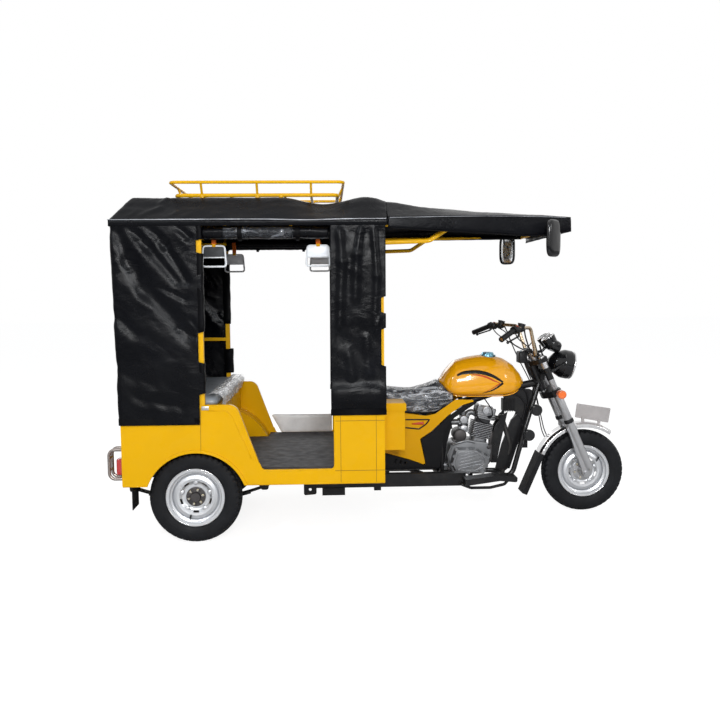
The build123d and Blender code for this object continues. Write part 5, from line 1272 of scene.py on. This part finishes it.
for side, word in SIDES:
    panel = "side_panel_" + word
    # rolled bead round the doorway and along the top of the panel
    bead_line = [(1085, 803), (803, 803), (803, 429), (389, 429), (374, 469), (357, 479), (257, 761), (206, 803),
                 (66, 803)]
    bead = Shape()
    bead.tube(round_corners([at(x, side * 619.0, z) for x, z in bead_line], 0.030, 6), 0.0062, 10)
    bead.show("door_bead_" + word, "body", "body_yellow")
    crease = flat_corners([(96, 776), (190, 776), (222, 752), (306, 560), (330, 500)], 26, 6)
    hug("panel_crease_" + word, panel, crease, 5.0, "body", side, 0.0018)
    # seams as strips of dim yellow: painted shade in their gaps
    for number, line in enumerate((
            [(52, 790), (48, 542)], [(836, 790), (836, 356)], [(1038, 790), (1038, 356)], [(803, 708), (1086, 708)],
            [(803, 423), (1086, 423)])):
        hug(f"panel_seam_{number}_{word}", panel, straight(line), 2.4, "seam", side, 0.0004)
    # rolled lip of the arch
    lip = Shape()
    arc = [math.radians(20.5 + 139 * k / 72) for k in range(73)]
    lip.tube([at(16 + 294.5 * math.cos(t), side * 624.5, 246 + 294.5 * math.sin(t)) for t in arc], 0.0052, 10)
    lip.show("arch_lip_" + word, "body", "body_yellow")
    # latch bracket at the shoulder
    latch = Shape()
    latch.box(at(58, side * 626 - 2, 780), at(98, side * 626 + 2, 802))
    for x in (66, 90):
        latch.prism(at(x, side * 628, 791), (0, side, 0), 0.0045, 0.003, 12)
    latch.show("shoulder_latch_" + word, "steel", "steel", sharp=35, bevel=0.0008)
    # underside lip
    sill = Shape()
    for x0, x1 in ((-393, -268), (305, 1085)):
        sill.tube([at(x0, side * 620, 351), at(x1, side * 620, 351)], 0.005, 8)
    sill.show("sill_lip_" + word, "body", "body_yellow")

# ------------------------------------------------------------------ tank and covers
TANK = [  # ahead, low, high, half width, height of the widest line
    (1480, 852, 876, 44, 861), (1509, 818, 920, 98, 844), (1540, 790, 957, 122, 836), (1576, 771, 992, 134, 832),
    (1660, 768, 1016, 142, 838), (1760, 767, 1026, 144, 846), (1880, 768, 1008, 136, 846), (1950, 781, 966, 112, 846),
    (1996, 808, 914, 76, 848), (2019, 838, 876, 36, 852),
]
shape = Shape()
rows = []
for i in range(79):
    x = 1480 + 539 * i / 78
    low, high, half, widest = eased_table(TANK, x)
    ring = []
    for t in angles(72):
        c, u = math.cos(t), math.sin(t)
        py = half * signed_power(c, 2 / 2.15 if u > 0 else 2 / 3.4)
        pz = widest + ((high - widest) * abs(u) ** (2 / 2.05) if u > 0 else -(widest - low) * abs(u) ** (2 / 2.7))
        ring.append(at(x, py, pz))
    rows.append(ring)
shape.grid(rows, close_cols=True)
shape.close_ends(rows, 0.5)
tank_shell = shape.show("tank_shell", "tank", "body_yellow")
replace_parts(tank_shell, "fuel_tank")
# welded flange along the lower edge
flange = Shape()
for y_side in (-1, 1):
    edge = []
    for x in range(1560, 1981, 14):
        low, high, half, widest = eased_table(TANK, x)
        edge.append(at(x, y_side * half * 0.80, low + 5))
    flange.tube(edge, 0.0032, 8)
flange.show("tank_flange", "tank", "body_yellow")
SWOOSHES = [  # name, line, width, material, slot, lift, points across, taper
    ("tank_swoosh_upper_", [(1580, 906), (1620, 922), (1690, 928), (1750, 920), (1810, 898), (1868, 862)], 21,
     "stripe_black", "plastic_gloss", 0.0007, 5,
     lambda t: 0.15 + 0.95 * math.sin(math.pi * min(1.0, t * 0.82 + 0.10)) ** 0.8),
    ("tank_swoosh_red_", [(1668, 911), (1712, 908), (1762, 895), (1812, 872), (1846, 858)], 10,
     "stripe_red", "body_yellow", 0.0010, 4, lambda t: 0.12 + 0.9 * math.sin(math.pi * t) ** 0.8),
    ("tank_swoosh_lower_", [(1868, 858), (1838, 834), (1800, 812), (1764, 800), (1738, 793)], 15,
     "stripe_black", "plastic_gloss", 0.0007, 4, lambda t: 1.0 - 0.9 * t),
    ("tank_swoosh_lower_red_", [(1850, 856), (1818, 836), (1784, 816), (1752, 803)], 7,
     "stripe_red", "body_yellow", 0.0010, 4, lambda t: 1.0 - 0.85 * t),
]
for side, word in SIDES:
    for name, line, width, material, slot, lift, across, taper in SWOOSHES:
        hug(name + word, tank_shell, flat(line, 10), width, material, side, lift, across, taper)

for side, word in SIDES:
    hug("cover_stripe_" + word, "side_covers",
        straight([(1250, 634), (1402, 632), (1380, 603), (1336, 573), (1250, 583)], 8), 9,
        "stripe_black", side, 0.0007)
    hug("cover_stripe_red_" + word, "side_covers", straight([(1290, 606), (1366, 610)], 8), 22,
        "stripe_red", side, 0.0007, taper=lambda t: 0.35 + 0.65 * t)

cap = Shape()
cap.lathe(at(1796, 0, 1016), (0.02, 0, 1), [(0.050, -0.004), (0.052, 0.006), (0.050, 0.011), (0.040, 0.013),
                                            (0.038, 0.020), (0.034, 0.027), (0.020, 0.029), (0.0001, 0.0295)], 40)
cap.show("filler_cap", "blue_cap", "chrome_trim", sharp=38)


# ------------------------------------------------------------------ fork covers and clamps
UP_FORK = on_fork(0, 0, 1) - on_fork(0, 0, 0)
covers, seals, caps = Shape(), Shape(), Shape()
for y in (-95, 95):
    leg = [on_fork(30, y, up) for up in (367, 370, 536, 539)]
    covers.tube(leg, [0.0262, 0.0272, 0.0272, 0.0262], 28)
    covers.tube([on_fork(30, y, up) for up in (579, 582, 770, 773)], [0.0198, 0.0205, 0.0205, 0.0198], 24)
    seals.lathe(on_fork(30, y, 343), UP_FORK,
                [(0.0262, 0.0), (0.0312, 0.002), (0.0318, 0.012), (0.0305, 0.024), (0.0275, 0.027)], 32)
    caps.lathe(on_fork(30, y, 801), UP_FORK,
               [(0.021, 0.0), (0.021, 0.008), (0.017, 0.012), (0.0001, 0.013)], 12)
covers.show("fork_covers", "fork_silver", "chrome_trim", STEERING, sharp=40)
seals.show("fork_seals", "black_plastic", "rubber_black", STEERING, sharp=40)
caps.show("fork_caps", "chrome", "chrome_trim", STEERING, sharp=35)
skins = Shape()
for low, high, half in ((540, 578, 126.0), (774, 800, 124.0)):
    outline = round_corners([(forward_mm, y_mm, 0) for y_mm, forward_mm in (
        (-half, 1), (-half, 61), (half, 61), (half, 1), (29, -49), (-29, -49))], 15, 5, closed=True)
    rings = []
    for up, grow in ((low - 1.0, -1.5), (low - 1.0, 0.6), (high + 1.0, 0.6), (high + 1.0, -1.5)):
        middle = Vector((20, 0, 0))
        rings.append([on_fork(*(p + (p - middle).normalized() * grow).to_2d(), up) for p in outline])
    ends = [[middle_of(ring)] * len(ring) for ring in (rings[0], rings[-1])]
    skins.grid([ends[0], *rings, ends[1]], close_cols=True)
skins.show("clamp_skins", "black_paint", "frame_paint", STEERING, sharp=35)

# ignition switch behind the clamps, cable bundles round the headstock
switch = Shape()
switch.box(at(1992, -44, 972), at(2046, 44, 1046))
switch.box(at(2034, -58, 1040), at(2076, 58, 1064))
switch.show("switch_box", "black_plastic", "plastic_black", STEERING, bevel=0.008)
lock = Shape()
lock.lathe(at(2016, -20, 1046), (0, 0, 1), [(0.014, 0.0), (0.014, 0.006), (0.011, 0.008), (0.0001, 0.008)], 24)
lock.show("switch_lock", "chrome", "chrome_trim", STEERING, sharp=35)
bundle = Shape()
for y, radius, points in (
    (-34, 0.0070, [(2040, 1000), (2052, 940), (2080, 880), (2110, 840)]),
    (30, 0.0075, [(2046, 1010), (2060, 950), (2092, 900), (2124, 868)]),
    (8, 0.0090, [(2100, 1050), (2120, 1000), (2150, 960), (2160, 900)]),
    (-60, 0.0055, [(2120, 1090), (2138, 1030), (2168, 985), (2176, 930)]),
    (56, 0.0055, [(2118, 1096), (2134, 1040), (2160, 1000), (2170, 946)]),
):
    bundle.hose([at(px, y + 0.05 * (px - 2040), pz) for px, pz in points], radius)
bundle.box(at(2126, -66, 868), at(2152, 66, 902))
bundle.box(at(2140, -50, 930), at(2176, 50, 986))
bundle.show("headstock_wiring", "cable", "plastic_black", STEERING, sharp=40)
loom = Shape()
for y, radius, points in (
    (-22, 0.0080, [(1930, 800), (1975, 770), (2016, 742), (2040, 690), (2020, 600)]),
    (20, 0.0080, [(1926, 790), (1966, 744), (1990, 700), (1990, 640), (1960, 590)]),
    (-32, 0.0050, [(1996, 812), (2040, 790), (2056, 730), (2048, 680)]),
    (0, 0.0060, [(1900, 742), (1910, 700), (1896, 660), (1880, 620)]),
):
    loom.hose([at(px, y, pz) for px, pz in points], radius)
loom.box(at(1892, -30, 664), at(1972, 30, 742))
for k in range(7):
    loom.box(at(1896 + 11 * k, -36, 660), at(1901 + 11 * k, -28, 738))
loom.box(at(1872, -46, 560), at(1900, -10, 640))
loom.box(at(2018, -24, 420), at(2056, 24, 512))
loom.show("front_wiring", "cable", "plastic_black", sharp=40)

# ------------------------------------------------------------------ engine details
LEAN = math.radians(13.0)


def on_barrel(across, y, up):
    """Point on the cylinder's own axes, in millimetres."""
    foot = at(1738, 0, 492)
    return foot + Vector(((across * math.cos(LEAN) + up * math.sin(LEAN)) / 1000, y / 1000,
                          (up * math.cos(LEAN) - across * math.sin(LEAN)) / 1000))


def barrel_ring(half_x, half_y, corner, up):
    """Line round the cylinder at a height."""
    line = round_corners([(-half_x, -half_y, 0), (half_x, -half_y, 0), (half_x, half_y, 0), (-half_x, half_y, 0)],
                         corner, 5, closed=True)
    return [on_barrel(p.x, p.y, up) for p in line]


fins = Shape()
for k in range(9):
    fins.tube(barrel_ring(67.2, 70.2, 22, 9.7 + 11 * k), 0.0021, 8, closed=True)
for k in range(3):
    fins.tube(barrel_ring(65.6, 68.6, 16, 132 + 12 * k), 0.0026, 8, closed=True)
fins.tube(barrel_ring(64.4, 58.4, 14, 170), 0.0022, 8, closed=True)
fins.show("fin_edges", "alloy_light", "alloy")
grille = Shape()
for k in range(8):
    for across in (-48, -24, 0, 24, 48):
        spot = on_barrel(across + (12 if k % 2 else 0) - 6, -70.6, 15.2 + 11 * k)
        grille.tube([spot + Vector((0, 0.006, 0)), spot + Vector((0, -0.0006, 0))], 0.0032, 8)
grille.show("fin_dampers", "rubber", "rubber_black")
head = Shape()
out_near = Vector((0, -1, 0))
head.lathe(on_barrel(4, -58, 187), out_near,
           [(0.031, 0.0), (0.031, 0.004), (0.027, 0.008), (0.018, 0.009), (0.016, 0.006), (0.0001, 0.006)], 32)
for k in range(3):
    t = math.radians(90 + 120 * k)
    head.prism(on_barrel(4 + 24 * math.cos(t), -66, 187 + 24 * math.sin(t)), out_near, 0.0045, 0.005)
for across, y in ((-46, -44), (46, -44), (-46, 44), (46, 44)):
    head.prism(on_barrel(across, y, 205), on_barrel(0, 0, 1) - on_barrel(0, 0, 0), 0.0075, 0.008)
for across in (-50, -25, 25, 50):
    head.prism(on_barrel(across, -61.5, 158), out_near, 0.0052, 0.006)
head.show("head_cover_bolts", "alloy_light", "alloy", sharp=35)
plug = Shape()
plug.tube([on_barrel(20, -60, 148), on_barrel(24, -76, 150), on_barrel(30, -92, 156)], [0.0085, 0.0105, 0.0095], 14)
plug.hose([on_barrel(30, -92, 156), on_barrel(33, -104, 172), on_barrel(20, -100, 205), at(1775, -70, 735),
           at(1762, -30, 760)], 0.0038)
plug.hose([at(1700, -60, 690), at(1716, -78, 640), at(1745, -84, 604), at(1778, -76, 590)], 0.0048)
plug.show("plug_cap_lead", "cable", "rubber_black", sharp=40)

crank = Shape()
COVER_BOLTS = [(1572, 440), (1640, 440), (1688, 437), (1738, 412), (1776, 388), (1766, 330), (1724, 292), (1650, 290),
               (1578, 291), (1549, 346), (1558, 396)]
for x, z in COVER_BOLTS:
    crank.lathe(at(x, -141, z), out_near, [(0.0105, -0.002), (0.0100, 0.004), (0.0001, 0.004)], 16)
    crank.prism(at(x, -145, z), out_near, 0.0056, 0.006)
for k in range(5):  # raised ribs that climb forward over the clutch cover
    z0 = 322 + 20 * k
    x0, x1 = 1590 + 3 * k, 1738 - 9 * k
    crank.tube([at(x0, -147.2, z0 - 4), at(x1, -147.2, z0 + 24)], 0.0019, 8)
rib = [(1584, 306), (1700, 306), (1752, 344), (1752, 386), (1684, 424), (1588, 424), (1564, 352)]
crank.tube(round_corners([at(x, -147.4, z) for x, z in rib], 0.014, 5, closed=True), 0.0030, 8, closed=True)
crank.lathe(at(1736, -147, 304), out_near,
            [(0.021, 0.0), (0.021, 0.005), (0.016, 0.008), (0.012, 0.004), (0.0001, 0.004)], 28)
crank.lathe(at(1598, -147, 300), out_near, [(0.013, 0.0), (0.013, 0.006), (0.0001, 0.006)], 20)
crank.hose([at(1560, -96, 462), at(1600, -110, 478), at(1650, -104, 486), at(1700, -100, 474)], 0.0075, 6)
crank.tube([at(1536, -98, 330), at(1524, -98, 400), at(1548, -98, 452)], 0.0065, 10)
crank.show("clutch_cover_ribs", "alloy", "alloy", sharp=40)
gear = Shape()
for x, z, r in ((1534, 306, 0.012), (1556, 466, 0.010), (1788, 440, 0.011), (1600, 282, 0.010), (1690, 282, 0.010)):
    gear.lathe(at(x, -92, z), out_near, [(r, 0.0), (r, 0.008), (r * 0.7, 0.010), (0.0001, 0.010)], 20)
gear.box(at(1548, -100, 272), at(1760, -88, 284))
gear.box(at(1784, -70, 350), at(1812, -20, 452))
gear.tube([at(1800, -60, 452), at(1812, -58, 520), at(1806, -50, 560)], 0.010, 12)
gear.show("case_fittings", "drum", "alloy", sharp=35, bevel=0.001)
starter = Shape()
starter.lathe(at(1612, 74, 510), out_near, [(0.0001, 0.0), (0.038, 0.0), (0.042, 0.006), (0.042, 0.118),
                                            (0.039, 0.124), (0.022, 0.130), (0.0001, 0.130)], 32)
starter.box(at(1566, -46, 446), at(1668, 46, 484))
starter.show("starter_motor", "drum", "iron", sharp=38, bevel=0.002)
airbox = Shape()
airbox.plate([(1440, 592), (1536, 650), (1560, 580), (1526, 459), (1512, 337), (1440, 330)], -48, 48)
airbox.show("air_box", "cover_black", "plastic_black", sharp=35)
carb = Shape()
carb.lathe(at(1638, -24, 612), out_near,
           [(0.030, 0.0), (0.030, 0.012), (0.024, 0.018), (0.012, 0.020), (0.0001, 0.020)], 28)
carb.lathe(at(1638, -26, 552), out_near, [(0.024, 0.0), (0.024, 0.008), (0.018, 0.012), (0.0001, 0.012)], 24)
for x, z in ((1612, 636), (1664, 636), (1612, 588), (1664, 588), (1616, 534), (1660, 534)):
    carb.prism(at(x, -31, z), out_near, 0.0052, 0.008)
carb.tube([at(1594, -28, 640), at(1600, -34, 676), at(1622, -20, 700)], 0.009, 12)
carb.show("carburettor_fittings", "alloy_light", "alloy", sharp=35)
hanger = Shape()
for y in (-40, 40):
    hanger.plate([(1812, 470), (1838, 560), (1884, 640), (1920, 660), (1898, 560), (1872, 440), (1850, 330),
                  (1812, 330)], y - 3, y + 3)
hanger.plate([(2040, 690), (2076, 690), (1944, 282), (1850, 282), (1890, 440), (1950, 600)], -9, 9)
for x, z in ((1832, 366), (1836, 450), (1868, 570), (1898, 636)):
    hanger.prism(at(x, -43, z), out_near, 0.009, 0.008)
hanger.show("engine_hangers", "black_paint", "frame_paint", sharp=35)

# ------------------------------------------------------------------ handlebar controls
grips, shiny = Shape(), Shape()
for side in (-1, 1):
    start, end = at(1884, side * 352, 1198), at(2030, side * 172, 1204)
    along = (end - start).normalized()
    rise = Vector((0.25, 0, 1)).normalized()
    grips.tube([start + along * d for d in (0.004, 0.010, 0.046, 0.052)], [0.019, 0.0245, 0.0245, 0.018], 10)
    grips.tube([start + along * d for d in (0.070, 0.074, 0.104, 0.108)], [0.015, 0.019, 0.019, 0.015], 12)
    base = start + along * 0.090 + rise * 0.008
    grips.lathe(base, rise,
                [(0.0001, 0.0), (0.021, 0.0), (0.022, 0.020), (0.024, 0.021), (0.024, 0.028), (0.0001, 0.030)], 24)
    ahead_of = Vector((1, 0, -0.15)).normalized()
    grips.tube([start + along * 0.085, start + along * 0.080 + ahead_of * 0.034], [0.012, 0.009], 10)
    grips.hose([start + along * 0.10 + ahead_of * 0.02, start + along * 0.14 + Vector((0.01, 0, -0.05)),
                start + along * 0.17 + Vector((0.02, 0, -0.12)), at(2070, side * 80, 1040)], 0.0045, sides=8)
    grips.hose([start + along * 0.03 + rise * -0.02, start + along * 0.07 + Vector((0.0, 0, -0.06)),
                start + along * 0.13 + Vector((0.03, 0, -0.11)), at(2084, side * 60, 1030)], 0.0036, sides=8)
    shiny.lathe(start + along * 0.030 + rise * 0.022, rise, [(0.008, 0.0), (0.008, 0.005), (0.0001, 0.006)], 16)
grips.show("control_housings", "black_plastic", "plastic_black", STEERING, sharp=40)
shiny.show("switch_buttons", "stripe_red", "plastic_black", STEERING, sharp=40)

# cowl that carries the dials
cowl = Shape()
rings = []
for i in range(25):
    t = -math.pi / 2 + math.pi * i / 24
    ring = []
    for u, v in rounded(40, 0.6, 0.6):
        px, py, pz = u * math.cos(t) ** 0.45 * 0.050, math.sin(t) * 0.100, v * math.cos(t) ** 0.45 * 0.040
        turned = Vector((px * 0.90 + pz * 0.30, py, pz * 0.95 - px * 0.42))
        ring.append(at(2216, 0, 1086) + turned)
    rings.append(ring)
cowl.grid(rings, close_cols=True)
cowl.show("pod_cowl", "gloss_black", "plastic_gloss", STEERING)

# ------------------------------------------------------------------ lamps, pod and mirrors
def lens_disc(name, centre, axis, radius, bulge, rim_width, sides=48):
    """Domed clear lens in a bright rim."""
    shape, ring = Shape(), Shape()
    profile = [(radius, -0.002)]
    for k in range(9):
        t = k / 8
        profile.append((max(radius * (1 - t), 0.0001), bulge * (1 - (1 - t) ** 2)))
    shape.lathe(centre, axis, profile, sides)
    shape.show(name, "clear", "chrome_trim", STEERING)
    centre, axis, a, b = axes_at(centre, axis)
    ring.tube([centre + a * radius * math.cos(t) + b * radius * math.sin(t) for t in angles(sides)],
              rim_width, 10, closed=True)
    ring.show(name + "_rim", "chrome", "chrome_trim", STEERING)


tilt = math.radians(12.0)
lamp_axis = Vector((math.cos(tilt), 0, -math.sin(tilt)))
lamp_centre = at(2262, 0, 968)
bowl = Shape()
bowl.lathe(lamp_centre + lamp_axis * 0.0785, lamp_axis,
           [(0.0001, 0.0002), (0.030, 0.0006), (0.062, 0.0012), (0.082, 0.002)], 48)
bowl.show("headlamp_reflector", "reflector", "chrome_trim", STEERING)
lens_disc("headlamp_lens", lamp_centre + lamp_axis * 0.080, lamp_axis, 0.084, 0.026, 0.006)

pod_tilt = math.radians(32.0)
pod_axis = Vector((-math.sin(pod_tilt), 0, math.cos(pod_tilt)))
for number, y in enumerate((-52, 52)):
    centre = at(2190, y, 1108) + pod_axis * 0.0328
    face = Shape()
    face.lathe(centre, pod_axis, [(0.041, 0.0), (0.040, 0.0006), (0.0001, 0.0008)], 40)
    face.show(f"dial_face_{number}", "dial", "plastic_gloss", STEERING)
    marks = Shape()
    _, _, a, b = axes_at(centre, pod_axis)
    for k in range(11):
        t = math.radians(-130 + 26 * k)
        d = a * math.cos(t) + b * math.sin(t)
        marks.tube([centre + d * 0.030 + pod_axis * 0.0012, centre + d * 0.036 + pod_axis * 0.0012], 0.0006, 6)
    marks.tube([centre + pod_axis * 0.002, centre + a * 0.024 + pod_axis * 0.002], 0.0009, 6)
    marks.show(f"dial_marks_{number}", "white_plastic", "plastic_gloss", STEERING)
    lens_disc(f"dial_glass_{number}", centre + pod_axis * 0.003, pod_axis, 0.041, 0.006, 0.0045, 40)

# mirrors: rounded housings on stems from the visor's edge tubes
housings = Shape()
turn42 = math.radians(42.0)


def mirror_ring(middle, along, normal, half_u, half_v, depth):
    """Rounded outline of a mirror at a depth."""
    return [middle + (along * (u * half_u) + Vector((0, 0, v * half_v)) + normal * depth) / 1000
            for u, v in rounded(56, 0.5, 0.5)]


for side, word in SIDES:
    along = Vector((math.cos(turn42), side * -math.sin(turn42), 0))
    normal = Vector((-math.sin(turn42), side * -math.cos(turn42), 0))
    middle = at(2052, side * 586, 1728)
    housings.grid([mirror_ring(middle, along, normal, *ring) for ring in (
        (1, 1, 7.5), (51, 95, 7.5), (53, 97, 12.0), (57, 101, 12.6), (60, 104, 9.0), (61, 105, 2.0), (60, 104, -5.0),
        (56, 100, -11.0), (47, 91, -15.5), (32, 72, -18.0), (1, 1, -19.0))], close_cols=True)
    housings.tube(round_corners([at(2052, side * 586, 1742), at(2028, side * 542, 1748), at(2008, side * 498.7, 1766),
                                 at(2008, side * 498.7, 1795.7)], 0.014, 6), 0.006, 14)
    face = Shape()
    face.grid([mirror_ring(middle, along, normal, *ring) for ring in (
        (50.5, 94.5, 7.6), (50, 94, 8.8), (25, 50, 9.0), (1, 1, 9.0))], close_cols=True)
    face.show("mirror_glass_" + word, "mirror", "chrome_trim")
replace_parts(housings.show("mirror_housings", "gloss_black", "plastic_gloss"), "mirrors")

# ------------------------------------------------------------------ floor, walls of light
FLOOR_HALF = 40  # metres
corners = [(x * FLOOR_HALF, y * FLOOR_HALF, 0) for x, y in ((-1, -1), (1, -1), (1, 1), (-1, 1))]
floor = make("floor", corners, [(0, 1, 2, 3)], None)


def two_lights(owner, output, shaders, steps):
    """Surface that mixes two plain shaders by the kind of ray that meets it."""
    owner.use_nodes = True
    tree = owner.node_tree
    tree.nodes.clear()
    out = tree.nodes.new(output)
    mixed = tree.nodes.new("ShaderNodeMixShader")
    for socket, (kind, colour, strength) in zip(mixed.inputs[1:], shaders):
        node = tree.nodes.new(kind)
        node.inputs["Color"].default_value = (*colour, 1)
        if strength is not None:
            node.inputs["Strength"].default_value = strength
        tree.links.new(node.outputs[0], socket)
    path = tree.nodes.new("ShaderNodeLightPath")
    share = path.outputs["Is Camera Ray"]
    for operation, other in steps:
        node = tree.nodes.new("ShaderNodeMath")
        node.operation = operation
        tree.links.new(share, node.inputs[0])
        if isinstance(other, str):
            tree.links.new(path.outputs[other], node.inputs[1])
        else:
            node.inputs[1].default_value = other
        share = node.outputs[0]
    tree.links.new(share, mixed.inputs[0])
    tree.links.new(mixed.outputs[0], out.inputs["Surface"])


ground = bpy.data.materials.new("pale_floor")
two_lights(ground, "ShaderNodeOutputMaterial", (
    ("ShaderNodeBsdfDiffuse", (0.86, 0.86, 0.86), None), ("ShaderNodeEmission", (1, 1, 1), 1.55)),
    [("MULTIPLY", 0.56)])
floor.data.materials.append(ground)
scene.world = bpy.data.worlds.new("studio")
two_lights(scene.world, "ShaderNodeOutputWorld", (
    ("ShaderNodeBackground", (0.97, 0.98, 1.0), 0.34), ("ShaderNodeBackground", (1, 1, 1), 1.0)),
    [("MAXIMUM", "Is Transmission Ray"), ("MAXIMUM", "Is Glossy Ray")])


def softbox(name, place, target, size, power, tint=(1, 1, 1)):
    """Rectangular light aimed at a place."""
    light = bpy.data.objects.new(name, bpy.data.lights.new(name, "AREA"))
    light.data.shape = "RECTANGLE"
    light.data.size, light.data.size_y = size
    light.data.energy, light.data.color = power, tint
    scene.collection.objects.link(light)
    light.location = place
    light.rotation_euler = (Vector(target) - Vector(place)).to_track_quat("-Z", "Y").to_euler()


softbox("front_light", (-0.2, -7.4, 3.1), (0, 0, 0.8), (2.2, 1.0), 250)
softbox("key_light", (-3.4, -4.6, 4.2), (0, 0, 0.9), (0.55, 0.6), 60, (0.86, 0.93, 1.0))
softbox("sheen_light", (0.5, -5.9, 3.4), (-0.6, -0.6, 1.2), (0.4, 0.4), 40, (0.86, 0.93, 1.0))
softbox("fill_light", (4.6, -4.0, 3.0), (0.3, 0, 0.8), (0.8, 1.2), 32)
softbox("top_light", (0.2, -1.4, 5.2), (0, 0, 1.0), (3.0, 2.0), 25)
softbox("back_light", (-1.5, 5.0, 3.2), (0, 0, 1.0), (4.0, 2.0), 60)
